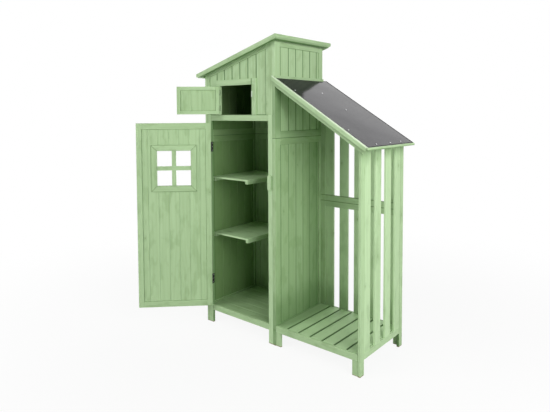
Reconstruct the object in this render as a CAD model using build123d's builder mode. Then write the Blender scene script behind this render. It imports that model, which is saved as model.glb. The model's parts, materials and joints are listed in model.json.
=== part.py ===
"""Painted timber tool shed: a tall cupboard with a door and a loft hatch, and a slatted lean-to rack.

Millimetres, +X to the right along the front, +Y to the back, +Z up. The origin is the middle of
the underside of the front left foot. The door and the hatch stand open, as they are shown.
"""

import os
from math import cos, radians, sin, tan

from build123d import *

os.makedirs("parts", exist_ok=True)

# Overall sizes
cabinet_w = 574.0
shed_w = 1126.0
depth = 475.0
leg_h = 80.0
high_wall_h = 1757.0

# Wall panels: frame sticks with tongued planks set in
wall_t = 20.0
front_stile_w = 48.0
back_stile_w = 37.0
rail_h = 38.0
panel_joint_z = 1200.0
joint_gap = 0.4
ease = 1.2
plank_t = 10.0
plank_recess = 5.0
side_plank_w = 71.0
side_first_w = 82.0
least_plank_w = 18.0
v_groove = 1.8
tongue_l = 4.0
tongue_t = 3.0
tongue_clear = 0.3

# Front of the cupboard
post_w = 33.0
post_t = 17.0
sill_h = 35.0
lintel_drop = 459.0
lintel_h = 36.0
gable_rail_h = 27.0
gable_left_w = 20.0
gable_right_w = 46.0
gable_plank_w = 65.0

# Floors and half-width shelves of the cupboard
floor_t = 12.0
floor_drop = 6.0
floor_board_w = 73.0
board_gap = 1.0
bearer_w = 20.0
bearer_h = 20.0
shelf_w = 303.0
shelf_t = 11.0
shelf_setback = 42.0
upper_shelf_z = 938.0
lower_shelf_z = 576.0
batten_w = 20.0
batten_h = 17.0

# Roof of the cupboard, falling to the left
tall_pitch = 16.4
deck_t = 12.0
felt_t = 2.0
deck_board_w = 82.0
over_left = 40.0
over_right = 34.0
over_front = 40.0
over_back = 42.0
fascia_t = 15.0
fascia_h = 29.0
fascia_face_h = 17.0
fascia_bevel = 7.0
edging_h = 22.0
tail_cut = 16.0

# Door
door_angle = 135.0
door_t = 18.0
door_setback = 1.0
door_stile_w = 33.0
door_rail_h = 37.0
door_plank_w = 64.0
door_free_gap = 2.5
door_foot_gap = 4.0
door_head_gap = 14.0
window_w = 210.0
window_h = 220.0
window_drop = 283.0
window_trim_w = 36.0
window_trim_t = 7.0
window_bar_w = 26.0
window_bar_t = 16.0

# Loft hatch and the trim round its opening
hatch_angle = 135.0
hatch_from_left = 135.0
hatch_opening_w = 264.0
hatch_opening_h = 178.0
hatch_t = 16.0
hatch_setback = 1.0
hatch_stick_w = 21.0
hatch_plank_t = 8.0
hatch_plank_w = 66.0
hatch_free_gap = 3.0
hatch_foot_gap = 4.0
hatch_head_gap = 5.0
hatch_trim_w = 35.0
hatch_trim_proud = 4.0

# Butt hinges
leaf_t = 1.4
leaf_gap = 0.6
knuckle_r = 3.4
knuckle_gap = 0.3
pin_r = 1.6
pin_clear = 0.05
pin_stand_off = 4.0
door_hinge_h = 62.0
door_leaf_w = 17.0
low_hinge_rise = 167.0
high_hinge_drop = 151.0
hatch_hinge_h = 34.0
hatch_leaf_w = 12.0
hatch_hinge_inset = 36.0

# Turn buttons and their screws
button_w = 28.0
button_l = 87.0
button_t = 12.0
button_corner = 7.0
button_z = 944.0
small_button_w = 7.0
small_button_l = 36.0
small_button_t = 4.0
small_button_corner = 2.0
small_button_inset = 5.5
small_button_rise = 122.0
button_gap = 0.3
screw_r = 2.2
screw_clear = 0.06
screw_head_r = 4.5
screw_head_t = 2.4
screw_dome = 1.6
screw_bite = 8.0
small_screw_r = 1.3
small_head_r = 2.6
small_head_t = 1.4
small_dome = 0.9

# Lean-to rack
rack_rail_t = 17.0
short_leg_w = 34.0
short_leg_setback = 2.0
rack_floor_t = 15.0
rack_floor_boards = 7
rack_floor_gap = 8.0
fence_t = 15.0
fence_post_w = 38.0
fence_rail_h = 36.0
slat_w = 60.0
slat_t = 12.0
end_slats = 4
back_slats = 5
back_fence_t = 18.0
back_fence_left_w = 33.0
back_fence_right_w = 32.0
fence_joint_z = 789.0

# Roof of the rack, falling to the right
rack_pitch = 32.3
rack_top_z = 1545.0
rack_deck_t = 7.0
rack_deck_board_w = 74.0
rack_over_end = 37.0
rack_over_back = 46.0
rafter_h = 35.0
barge_t = 15.0
barge_h = 41.0
barge_face_h = 24.0
barge_step = 8.0
barge_lap = 14.0
eave_t = 7.0
eave_h = 9.0
wall_strip_w = 8.0
wall_strip_h = 10.0

# Lines that the pieces are set out from
x_left = -wall_t / 2
x_right = x_left + cabinet_w
x_end = x_left + shed_w
x_inner_left = x_left + wall_t
x_inner_right = x_right - wall_t
x_open_left = x_inner_left + post_w
x_open_right = x_inner_right - post_w
x_gable_left = x_inner_left + gable_left_w
x_gable_right = x_inner_right - gable_right_w
x_fence = x_end - fence_t
y_front = -front_stile_w / 2
y_back = y_front + depth
y_inner_front = y_front + post_t
y_inner_back = y_back - wall_t
z_rail_top = leg_h + rail_h
z_sill_top = leg_h + sill_h
lintel_z = high_wall_h - lintel_drop
z_lintel_top = lintel_z + lintel_h
tall_cover_t = deck_t + felt_t
rack_cover_t = rack_deck_t + felt_t
hinge_gap = 2 * leaf_t + leaf_gap
half_gap = joint_gap / 2


def tall_roof_z(x, drop=0.0):
    """Height at x of the line that lies drop square below the tall roof's top face."""
    wall_top = high_wall_h - (x_right - x) * tan(radians(tall_pitch))
    return wall_top + (tall_cover_t - drop) / cos(radians(tall_pitch))


def rack_roof_z(x, drop=0.0):
    """Height at x of the line that lies drop square below the rack roof's top face."""
    return rack_top_z - (x - x_right) * tan(radians(rack_pitch)) - drop / cos(radians(rack_pitch))


def across(y):
    """Upright plane across the shed at depth y, facing the front: sketch x is X, sketch y is Z."""
    return Plane.XZ.offset(-y)


def along(x):
    """Upright plane along the shed at x, facing right: sketch x is Y, sketch y is Z."""
    return Plane.YZ.offset(x)


def swung(pin, angle):
    """Upright plane through a pin, facing out of a leaf opened by angle: sketch x leads from the pin."""
    turn = radians(angle)
    return Plane((*pin, 0), x_dir=(cos(turn), -sin(turn), 0), z_dir=(-sin(turn), -cos(turn), 0))


def plan(upright):
    """Level plane at the ground under an upright one: sketch x is the same, sketch y leads behind it."""
    return Plane(upright.origin, x_dir=upright.x_dir, z_dir=(0, 0, 1))


def bar(u0, v0, u1, v1):
    """Outline of a square-cut stick."""
    return [(u0, v0), (u1, v0), (u1, v1), (u0, v1)]


def raked(x0, x1, low, high):
    """Outline of a stick with plumb ends between the heights low(x) and high(x)."""
    return [(x0, low(x0)), (x1, low(x1)), (x1, high(x1)), (x0, high(x0))]


def tall_line(drop):
    """Height along X of the line drop below the tall roof's top face."""
    return lambda x: tall_roof_z(x, drop)


def rack_line(drop):
    """Height along X of the line drop below the rack roof's top face."""
    return lambda x: rack_roof_z(x, drop)


def level(z):
    """The same height along X."""
    return lambda x: z


def rip(start, stop, width):
    """Ends of the boards of one width that fill start to stop, the last one ripped to fit."""
    edges = [start]
    while stop - edges[-1] - width > least_plank_w:
        edges.append(edges[-1] + width)
    return list(zip(edges, edges[1:] + [stop]))


def centred(start, stop, width):
    """Ends of the boards of one width that lie about the middle of start to stop, the outer two ripped."""
    whole = int((stop - start - 2 * least_plank_w) / width)
    first = (start + stop - whole * width) / 2
    edges = [first + width * i for i in range(whole + 1)]
    return list(zip([start] + edges, edges + [stop]))


def spread(start, stop, count, width):
    """Ends of count boards, the first at start, the last at stop, and equal gaps between."""
    pitch = (stop - start - width) / (count - 1)
    return [(start + pitch * i, start + pitch * i + width) for i in range(count)]


def sticks(plane, thickness, outlines, cut=None):
    """Separate sticks with eased arrises, drawn from plane by thickness and kept below cut."""
    with BuildPart() as made:
        with BuildSketch(plane):
            for outline in outlines:
                with BuildLine():
                    Polyline(*outline, close=True)
                make_face()
        extrude(amount=thickness)
        chamfer(made.faces().filter_by(plane).edges(), ease)
        if cut:
            split(bisect_by=cut, keep=Keep.BOTTOM)
    return made


def levels(tops, thickness, outlines):
    """Separate level sticks with eased arrises, a set of them under each of the tops."""
    with BuildPart() as made:
        for top in tops:
            with BuildSketch(Plane.XY.offset(top)):
                for outline in outlines:
                    with BuildLine():
                        Polyline(*outline, close=True)
                    make_face()
            extrude(amount=-thickness)
        chamfer(made.faces().filter_by(Plane.XY).edges(), ease)
    return made


def planks(upright, thickness, run, low, high, cut=None, opening=None):
    """Standing tongued planks with V joints behind an upright plane, with an opening cut through."""
    middle = thickness / 2
    joints = [u1 for u0, u1 in run[:-1]]
    with BuildPart() as made:
        with BuildSketch(plan(upright).offset(low)) as section:
            for u0, u1 in run:
                with Locations(((u0 + u1) / 2, middle)):
                    Rectangle(u1 - u0 - joint_gap, thickness)
            chamfer(section.vertices(), v_groove)
            with Locations(*((u, middle) for u in joints)):
                Rectangle(
                    tongue_l + tongue_clear,
                    tongue_t + 2 * tongue_clear,
                    align=(Align.MIN, Align.CENTER),
                    mode=Mode.SUBTRACT,
                )
            with Locations(*((u - joint_gap, middle) for u in joints)):
                Rectangle(tongue_l + joint_gap, tongue_t, align=(Align.MIN, Align.CENTER))
        extrude(amount=high - low)
        if cut:
            split(bisect_by=cut, keep=Keep.BOTTOM)
        if opening:
            with BuildSketch(upright):
                with BuildLine():
                    Polyline(*opening, close=True)
                make_face()
            extrude(amount=-thickness, mode=Mode.SUBTRACT)
    return made


def keep(name, made):
    """Names a finished sub-part and writes it."""
    made.part.label = name
    export_step(made.part, f"parts/{name}.step")


def roof_cut(roof_z, drop, pitch):
    """Plane that lies drop below a roof's top face, facing up."""
    turn = radians(pitch)
    return Plane((x_right, y_front, roof_z(x_right, drop)), x_dir=(0, 1, 0), z_dir=(-sin(turn), 0, cos(turn)))


under_tall = tall_line(tall_cover_t)
under_rack = rack_line(rack_cover_t)
tall_cut = roof_cut(tall_roof_z, tall_cover_t, tall_pitch)
rack_cut = roof_cut(rack_roof_z, rack_cover_t, -rack_pitch)


# Side walls: a lower and an upper framed panel each, whose lower stiles are the feet
y_stile_front = y_front + front_stile_w
y_stile_back = y_back - back_stile_w
y_first_joint = y_stile_front + side_first_w
wall_run = [(y_stile_front, y_first_joint)] + rip(y_first_joint, y_stile_back, side_plank_w)
z_lower_top = panel_joint_z - half_gap
z_upper_low = panel_joint_z + half_gap


def side_frame(x, foot, low, high, cut=None):
    """Two stiles from foot to high, with a rail above low and one below high."""
    outlines = [
        bar(y_front, foot, y_stile_front, high),
        bar(y_stile_back, foot, y_back, high),
        bar(y_stile_front + half_gap, low, y_stile_back - half_gap, low + rail_h),
        bar(y_stile_front + half_gap, high - rail_h, y_stile_back - half_gap, high),
    ]
    return sticks(along(x), wall_t, outlines, cut)


def side_planks(x, low, high):
    """Planks between the rails of a side panel, from x towards the left."""
    upright = Plane((x, 0, 0), x_dir=(0, 1, 0), z_dir=(1, 0, 0))
    return planks(upright, plank_t, wall_run, low + rail_h + half_gap, high - rail_h - half_gap)


for side, x_wall, x_planks, top in (
    ("left", x_left, x_left + plank_recess + plank_t, under_tall(x_inner_left)),
    ("right", x_inner_right, x_right - plank_recess, under_tall(x_right)),
):
    keep(f"{side}_wall_lower_frame", side_frame(x_wall, 0, leg_h, z_lower_top))
    keep(f"{side}_wall_lower_planks", side_planks(x_planks, leg_h, z_lower_top))
    keep(f"{side}_wall_upper_frame", side_frame(x_wall, z_upper_low, z_upper_low, top, tall_cut))
    keep(f"{side}_wall_upper_planks", side_planks(x_planks, z_upper_low, top))

# Back wall, between the side walls, with a sloping top rail
x_stile_left = x_inner_left + back_stile_w
x_stile_right = x_inner_right - back_stile_w
back_run = rip(x_stile_left, x_stile_right, side_plank_w)
back_plank_plane = across(y_back - plank_recess - plank_t)
back_lower = [
    bar(x_inner_left, leg_h, x_stile_left, z_lower_top),
    bar(x_stile_right, leg_h, x_inner_right, z_lower_top),
    bar(x_stile_left + half_gap, leg_h, x_stile_right - half_gap, z_rail_top),
    bar(x_stile_left + half_gap, z_lower_top - rail_h, x_stile_right - half_gap, z_lower_top),
]
keep("back_wall_lower_frame", sticks(across(y_back), wall_t, back_lower))
keep(
    "back_wall_lower_planks",
    planks(back_plank_plane, plank_t, back_run, z_rail_top + half_gap, z_lower_top - rail_h - half_gap),
)
back_upper = [
    raked(x_inner_left, x_stile_left, level(z_upper_low), under_tall),
    raked(x_stile_right, x_inner_right, level(z_upper_low), under_tall),
    bar(x_stile_left + half_gap, z_upper_low, x_stile_right - half_gap, z_upper_low + rail_h),
    raked(x_stile_left + half_gap, x_stile_right - half_gap, tall_line(tall_cover_t + rail_h), under_tall),
]
keep("back_wall_upper_frame", sticks(across(y_back), wall_t, back_upper))
back_plank_cut = roof_cut(tall_roof_z, tall_cover_t + rail_h + joint_gap, tall_pitch)
keep(
    "back_wall_upper_planks",
    planks(
        back_plank_plane,
        plank_t,
        back_run,
        z_upper_low + rail_h + half_gap,
        under_tall(x_inner_right),
        back_plank_cut,
    ),
)

# Front posts, with the pilot hole of the door button's screw, the sill and the lintel
button_x = x_open_right + post_w / 2
with BuildPart() as front_posts:
    with BuildSketch(across(y_front)):
        with Locations((x_open_left - post_w / 2, z_lintel_top / 2), (button_x, z_lintel_top / 2)):
            Rectangle(post_w, z_lintel_top)
    extrude(amount=-post_t)
    chamfer(front_posts.faces().filter_by(Plane.XZ).edges(), ease)
    with BuildSketch(across(y_front)):
        with Locations((button_x, button_z)):
            Circle(screw_r + screw_clear)
    extrude(amount=-screw_bite, mode=Mode.SUBTRACT)
keep("front_posts", front_posts)

sill = bar(x_open_left, leg_h, x_open_right, z_sill_top)
keep("front_sill", sticks(across(y_front), -post_t, [sill]))
lintel = bar(x_open_left, lintel_z, x_open_right, z_lintel_top)
keep("front_lintel", sticks(across(y_front), -post_t, [lintel]))

# Gable above the lintel, planked round the hatch opening
hatch_x0 = x_left + hatch_from_left
hatch_x1 = hatch_x0 + hatch_opening_w
hatch_z1 = z_lintel_top + hatch_opening_h
gable_low = tall_line(tall_cover_t + gable_rail_h)
gable = [
    raked(x_inner_left, x_gable_left, level(z_lintel_top), under_tall),
    raked(x_gable_right, x_inner_right, level(z_lintel_top), under_tall),
    raked(x_gable_left + half_gap, x_gable_right - half_gap, gable_low, under_tall),
]
keep("gable_frame", sticks(across(y_front), -post_t, gable))
gable_plank_cut = roof_cut(tall_roof_z, tall_cover_t + gable_rail_h + joint_gap, tall_pitch)
keep(
    "gable_planks",
    planks(
        across(y_front + plank_recess),
        plank_t,
        rip(x_gable_left, x_gable_right, gable_plank_w),
        z_lintel_top,
        under_tall(x_inner_right),
        gable_plank_cut,
        bar(hatch_x0, z_lintel_top, hatch_x1, hatch_z1),
    ),
)

# Trim round the hatch opening, with the pilot hole of the hatch button's screw
y_trim = y_front - hatch_trim_proud
small_button_x = hatch_x1 + small_button_inset
small_button_z = z_lintel_top + small_button_rise
with BuildPart() as hatch_trim:
    with BuildSketch(across(y_trim)):
        for outline in (
            bar(hatch_x0 - hatch_trim_w, z_lintel_top, hatch_x0, hatch_z1 - joint_gap),
            bar(hatch_x1, z_lintel_top, hatch_x1 + hatch_trim_w, hatch_z1 - joint_gap),
            bar(hatch_x0 - hatch_trim_w, hatch_z1, hatch_x1 + hatch_trim_w, hatch_z1 + hatch_trim_w),
        ):
            with BuildLine():
                Polyline(*outline, close=True)
            make_face()
    extrude(amount=-(hatch_trim_proud + plank_recess))
    chamfer(hatch_trim.faces().filter_by(Plane.XZ).sort_by(Axis.Y)[:3].edges(), ease)
    with BuildSketch(across(y_trim)):
        with Locations((small_button_x, small_button_z)):
            Circle(small_screw_r + screw_clear)
    extrude(amount=-screw_bite, mode=Mode.SUBTRACT)
keep("hatch_trim", hatch_trim)

# Boards of the floor and of the loft's floor, each on a bearer at both sides
z_floor = z_sill_top - floor_drop
floor_boards = [
    bar(x_inner_left, y0 + board_gap / 2, x_inner_right, y1 - board_gap / 2)
    for y0, y1 in rip(y_inner_front, y_inner_back, floor_board_w)
]
keep("cabinet_floor", levels([z_floor], floor_t, floor_boards))
keep("loft_floor", levels([z_lintel_top], floor_t, floor_boards))
bearers = [
    bar(x_inner_left, y_inner_front, x_inner_left + bearer_w, y_inner_back),
    bar(x_inner_right - bearer_w, y_inner_front, x_inner_right, y_inner_back),
]
keep("floor_bearers", levels([z_floor - floor_t, z_lintel_top - floor_t], bearer_h, bearers))

# Half-width shelves, each on a cleat at the wall and a batten nailed through from the back
x_shelf = x_inner_left + shelf_w
y_shelf = y_front + shelf_setback
shelf = bar(x_inner_left, y_shelf, x_shelf, y_inner_back)
y_back_planks = y_back - plank_recess - plank_t
shelf_supports = (
    bar(x_inner_left, y_shelf, x_inner_left + batten_w, y_inner_back),
    bar(x_shelf - batten_w, y_shelf, x_shelf, y_back_planks),
)
keep("shelves", levels([upper_shelf_z, lower_shelf_z], shelf_t, [shelf]))
batten_tops = [upper_shelf_z - shelf_t, lower_shelf_z - shelf_t]
keep("shelf_battens", levels(batten_tops, batten_h, shelf_supports))

# Roof of the cupboard: deck boards, felt, two mitred bevelled fascias and two plain edgings
x_eave = x_left - over_left
x_verge = x_right + over_right
y_roof_front = y_front - over_front
y_roof_back = y_back + over_back
y_deck_front = y_roof_front + fascia_t
y_deck_back = y_roof_back - fascia_t
deck_len = y_deck_back - y_deck_front
x_deck0 = x_eave + fascia_t
x_deck1 = x_verge - fascia_t
tall_deck = [
    raked(x0 + board_gap / 2, x1 - board_gap / 2, under_tall, tall_line(felt_t))
    for x0, x1 in rip(x_deck0, x_deck1, deck_board_w)
]
keep("tall_roof_deck", sticks(across(y_deck_back), deck_len, tall_deck))

with BuildPart() as tall_roof_felt:
    with BuildSketch(across(y_deck_back)):
        with BuildLine():
            Polyline(*raked(x_deck0, x_deck1, tall_line(felt_t), tall_roof_z), close=True)
        make_face()
    extrude(amount=deck_len)
keep("tall_roof_felt", tall_roof_felt)

mitre = Plane((x_verge, y_roof_front, 0), x_dir=(0, 0, 1), z_dir=(1, 1, 0))
fascia_low = tall_line(fascia_h)
fascia_mid = tall_line(fascia_face_h)
rake = radians(tall_pitch)
front_bevel = Plane(
    (x_verge, y_roof_front, fascia_mid(x_verge)),
    x_dir=(cos(rake), 0, sin(rake)),
    z_dir=(fascia_bevel * sin(rake), fascia_face_h - fascia_h, -fascia_bevel * cos(rake)),
)
with BuildPart() as front_fascia:
    with BuildSketch(across(y_deck_front)):
        with BuildLine():
            Polyline(*raked(x_eave, x_verge, fascia_low, tall_roof_z), close=True)
        make_face()
    extrude(amount=fascia_t)
    chamfer(front_fascia.faces().filter_by(Plane.XZ).sort_by(Axis.Y)[0].edges(), ease)
    split(bisect_by=front_bevel, keep=Keep.BOTTOM)
    split(bisect_by=Plane.XY.offset(fascia_low(x_left)), keep=Keep.TOP)
    split(bisect_by=mitre.offset(-half_gap), keep=Keep.BOTTOM)
keep("front_fascia", front_fascia)

tail = Plane((x_verge, y_back, fascia_low(x_deck1)), x_dir=(1, 0, 0), z_dir=(0, -tail_cut, over_back))
with BuildPart() as right_fascia:
    with BuildSketch(across(y_roof_back)):
        with BuildLine():
            Polyline(
                (x_deck1, fascia_low(x_deck1)),
                (x_verge - fascia_bevel, fascia_low(x_verge - fascia_bevel)),
                (x_verge, fascia_mid(x_verge)),
                (x_verge, tall_roof_z(x_verge)),
                (x_deck1, tall_roof_z(x_deck1)),
                close=True,
            )
        make_face()
    extrude(amount=y_roof_back - y_roof_front)
    chamfer(right_fascia.faces().sort_by(Axis.X)[-1].edges().filter_by(Axis.Y), ease)
    split(bisect_by=tail, keep=Keep.TOP)
    split(bisect_by=mitre.offset(half_gap), keep=Keep.TOP)
keep("right_fascia", right_fascia)

with BuildPart() as roof_edgings:
    with BuildSketch(across(y_roof_back)):
        with BuildLine():
            Polyline(*raked(x_eave, x_deck0, tall_line(edging_h), tall_roof_z), close=True)
        make_face()
    extrude(amount=y_roof_back - y_deck_front)
    with BuildSketch(across(y_roof_back)):
        with BuildLine():
            Polyline(*raked(x_deck0 + joint_gap, x_deck1, tall_line(edging_h), tall_roof_z), close=True)
        make_face()
    extrude(amount=fascia_t)
keep("roof_edgings", roof_edgings)

# Door, hung on the left post and drawn on the plane of its pin
door_pin = (x_open_left + hinge_gap / 2, y_front - pin_stand_off)
door_plane = swung(door_pin, door_angle)
door_face = door_plane.offset(-(pin_stand_off + door_setback))
door_u0 = hinge_gap / 2
door_u1 = x_open_right - door_free_gap - door_pin[0]
door_z0 = z_sill_top + door_foot_gap
door_z1 = lintel_z - door_head_gap
door_in0 = door_u0 + door_stile_w
door_in1 = door_u1 - door_stile_w
door_frame = [
    bar(door_u0, door_z0, door_in0, door_z1),
    bar(door_in1, door_z0, door_u1, door_z1),
    bar(door_in0 + half_gap, door_z0, door_in1 - half_gap, door_z0 + door_rail_h),
    bar(door_in0 + half_gap, door_z1 - door_rail_h, door_in1 - half_gap, door_z1),
]
keep("door_frame", sticks(door_face, -door_t, door_frame))

window_u0 = (door_u0 + door_u1 - window_w) / 2
window_u1 = window_u0 + window_w
window_z = door_z1 - window_drop
window_z0 = window_z - window_h / 2
window_z1 = window_z + window_h / 2
door_plank_plane = door_face.offset((plank_t - door_t) / 2)
keep(
    "door_planks",
    planks(
        door_plank_plane,
        plank_t,
        centred(door_in0, door_in1, door_plank_w),
        door_z0 + door_rail_h + half_gap,
        door_z1 - door_rail_h - half_gap,
        opening=bar(window_u0, window_z0, window_u1, window_z1),
    ),
)


def mitred_trim(u0, v0, u1, v1, width):
    """Outlines of the four mitred boards round an opening, the level ones cut short by the joint."""
    s0 = u0 + joint_gap
    s1 = u1 - joint_gap
    return [
        [(u0, v0), (u0, v1), (u0 - width, v1 + width), (u0 - width, v0 - width)],
        [(u1, v0), (u1, v1), (u1 + width, v1 + width), (u1 + width, v0 - width)],
        [(s0, v0), (s1, v0), (s1 + width, v0 - width), (s0 - width, v0 - width)],
        [(s0, v1), (s1, v1), (s1 + width, v1 + width), (s0 - width, v1 + width)],
    ]


window_trim = mitred_trim(window_u0, window_z0, window_u1, window_z1, window_trim_w)
keep("window_trim_outer", sticks(door_plank_plane, window_trim_t, window_trim))
keep("window_trim_inner", sticks(door_plank_plane.offset(-plank_t), -window_trim_t, window_trim))

window_u = (window_u0 + window_u1) / 2
with BuildPart() as window_bars:
    with BuildSketch(door_plank_plane.offset((window_bar_t - plank_t) / 2)):
        with Locations((window_u, window_z)):
            Rectangle(window_bar_w, window_h)
            Rectangle(window_w, window_bar_w)
    extrude(amount=-window_bar_t)
    chamfer(window_bars.faces().filter_by(door_plane).edges(), ease)
keep("window_bars", window_bars)

# Hatch, hung on the trim's left side and drawn on the plane of its pin
hatch_pin = (hatch_x0 + hinge_gap / 2, y_trim - pin_stand_off)
hatch_plane = swung(hatch_pin, hatch_angle)
hatch_face = hatch_plane.offset(-(pin_stand_off + hatch_setback))
hatch_u0 = hinge_gap / 2
hatch_u1 = hatch_x1 - hatch_free_gap - hatch_pin[0]
hatch_z0 = z_lintel_top + hatch_foot_gap
hatch_top = hatch_z1 - hatch_head_gap
hatch_in0 = hatch_u0 + hatch_stick_w
hatch_in1 = hatch_u1 - hatch_stick_w
hatch_frame = [
    bar(hatch_u0, hatch_z0, hatch_in0, hatch_top),
    bar(hatch_in1, hatch_z0, hatch_u1, hatch_top),
    bar(hatch_in0 + half_gap, hatch_z0, hatch_in1 - half_gap, hatch_z0 + hatch_stick_w),
    bar(hatch_in0 + half_gap, hatch_top - hatch_stick_w, hatch_in1 - half_gap, hatch_top),
]
keep("hatch_frame", sticks(hatch_face, -hatch_t, hatch_frame))
hatch_run = [(-u1, -u0) for u0, u1 in rip(-hatch_in1, -hatch_in0, hatch_plank_w)]
keep(
    "hatch_planks",
    planks(
        hatch_face.offset((hatch_plank_t - hatch_t) / 2),
        hatch_plank_t,
        hatch_run[::-1],
        hatch_z0 + hatch_stick_w + half_gap,
        hatch_top - hatch_stick_w - half_gap,
    ),
)


def hinge_leaves(upright, side, leaf_w, height, middles, knuckles):
    """Leaves of butt hinges on one pin, on the left (-1) or right (1) of it, with some of three knuckles."""
    third = height / 3
    inner = leaf_gap / 2
    with BuildPart() as made:
        for z in middles:
            with BuildSketch(plan(upright).offset(z - height / 2)):
                with Locations((side * (inner + leaf_t / 2), (knuckle_r + knuckle_gap + leaf_w) / 2)):
                    Rectangle(leaf_t, leaf_w - knuckle_r - knuckle_gap)
            extrude(amount=height)
            for i in knuckles:
                low = z - height / 2 + third * i + knuckle_gap / 2
                with BuildSketch(plan(upright).offset(low)):
                    Circle(knuckle_r)
                    with Locations((side * (inner + leaf_t / 2), 0)):
                        Rectangle(leaf_t, leaf_w, align=(Align.CENTER, Align.MIN))
                    Circle(pin_r + pin_clear, mode=Mode.SUBTRACT)
                extrude(amount=third - knuckle_gap)
    return made


# Butt hinges: fixed leaves with two knuckles, swinging leaves with the one between, and pins
door_hinges = (door_z0 + low_hinge_rise, door_z1 - high_hinge_drop)
hatch_hinges = (hatch_z0 + hatch_hinge_inset, hatch_top - hatch_hinge_inset)
door_shut = swung(door_pin, 0)
hatch_shut = swung(hatch_pin, 0)
fixed_knuckles = (0, 2)
swing_knuckles = (1,)
keep(
    "door_hinge_fixed_leaves",
    hinge_leaves(door_shut, -1, door_leaf_w, door_hinge_h, door_hinges, fixed_knuckles),
)
keep("door_hinge_leaves", hinge_leaves(door_plane, 1, door_leaf_w, door_hinge_h, door_hinges, swing_knuckles))
keep(
    "hatch_hinge_fixed_leaves",
    hinge_leaves(hatch_shut, -1, hatch_leaf_w, hatch_hinge_h, hatch_hinges, fixed_knuckles),
)
keep(
    "hatch_hinge_leaves",
    hinge_leaves(hatch_plane, 1, hatch_leaf_w, hatch_hinge_h, hatch_hinges, swing_knuckles),
)
with BuildPart() as hinge_pins:
    for upright, height, middles in (
        (door_shut, door_hinge_h, door_hinges),
        (hatch_shut, hatch_hinge_h, hatch_hinges),
    ):
        for z in middles:
            with BuildSketch(plan(upright).offset(z - height / 2)):
                Circle(pin_r)
            extrude(amount=height)
keep("hinge_pins", hinge_pins)


def turn_button(y, x, z, width, length, thickness, corner, pivot_r):
    """Upright turn button with cut corners and a bored pivot, standing in front of depth y."""
    with BuildPart() as made:
        with BuildSketch(across(y - button_gap)) as outline:
            with Locations((x, z)):
                Rectangle(width, length)
            chamfer(outline.vertices(), corner)
            with Locations((x, z)):
                Circle(pivot_r + screw_clear, mode=Mode.SUBTRACT)
        extrude(amount=thickness)
        chamfer(made.faces().sort_by(Axis.Y)[0].outer_wire().edges(), ease)
    return made


# Turn buttons on their screws
door_button = turn_button(y_front, button_x, button_z, button_w, button_l, button_t, button_corner, screw_r)
keep("door_button", door_button)
hatch_button = turn_button(
    y_trim,
    small_button_x,
    small_button_z,
    small_button_w,
    small_button_l,
    small_button_t,
    small_button_corner,
    small_screw_r,
)
keep("hatch_button", hatch_button)

with BuildPart() as button_screws:
    for x, y, z, thickness, shank_r, head_r, head_t, dome in (
        (button_x, y_front, button_z, button_t, screw_r, screw_head_r, screw_head_t, screw_dome),
        (
            small_button_x,
            y_trim,
            small_button_z,
            small_button_t,
            small_screw_r,
            small_head_r,
            small_head_t,
            small_dome,
        ),
    ):
        with BuildSketch(across(y + screw_bite)):
            with Locations((x, z)):
                Circle(shank_r)
        extrude(amount=screw_bite + thickness + 2 * button_gap)
        with BuildSketch(across(y - thickness - 2 * button_gap)):
            with Locations((x, z)):
                Circle(head_r)
        extrude(amount=head_t)
        fillet(button_screws.edges(Select.LAST).filter_by(GeomType.CIRCLE).sort_by(Axis.Y)[0], dome)
keep("button_screws", button_screws)

# Base of the rack: front rail on short legs, bearers and spaced floor boards
y_rack_back = y_back - back_fence_t
keep("rack_front_rail", sticks(across(y_front), -rack_rail_t, [bar(x_right, leg_h, x_fence, z_sill_top)]))
rack_legs = [
    bar(x_right, 0, x_right + short_leg_w, leg_h),
    bar(x_fence - short_leg_w, 0, x_fence, leg_h),
]
keep("rack_legs", sticks(across(y_front + short_leg_setback), short_leg_setback - rack_rail_t, rack_legs))
z_board_low = z_sill_top - rack_floor_t
rack_bearers = [
    bar(x_right, y_front + rack_rail_t, x_fence, y_front + rack_rail_t + bearer_w),
    bar(x_right, y_rack_back - bearer_w, x_fence, y_rack_back),
]
keep("rack_bearers", sticks(Plane.XY.offset(leg_h), z_board_low - leg_h, rack_bearers))
rack_board_w = (x_fence - x_right - rack_floor_gap * (rack_floor_boards - 1)) / rack_floor_boards
rack_floor = [
    bar(x0, y_front + rack_rail_t, x1, y_rack_back)
    for x0, x1 in spread(x_right, x_fence, rack_floor_boards, rack_board_w)
]
keep("rack_floor_boards", sticks(Plane.XY.offset(z_board_low), rack_floor_t, rack_floor))

# End fence under the eave: posts to the ground, rails and spaced slats
z_fence_top = under_rack(x_fence)
z_fence_rail = under_rack(x_end) - fence_rail_h
y_post_front = y_front + fence_post_w
y_post_back = y_back - fence_post_w
fence_posts = [bar(y_front, 0, y_post_front, z_fence_top), bar(y_post_back, 0, y_back, z_fence_top)]
keep("end_fence_posts", sticks(along(x_fence), fence_t, fence_posts, rack_cut))
fence_rails = [
    bar(y_post_front, leg_h, y_post_back, z_sill_top),
    bar(y_post_front, z_fence_rail, y_post_back, z_fence_top),
]
keep("end_fence_rails", sticks(along(x_fence), fence_t, fence_rails, rack_cut))
end_slat_run = spread(y_post_front, y_post_back, end_slats, slat_w)
fence_slats = [bar(y0, z_sill_top, y1, z_fence_rail) for y0, y1 in end_slat_run]
keep("end_fence_slats", sticks(along(x_end), -slat_t, fence_slats))

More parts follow.
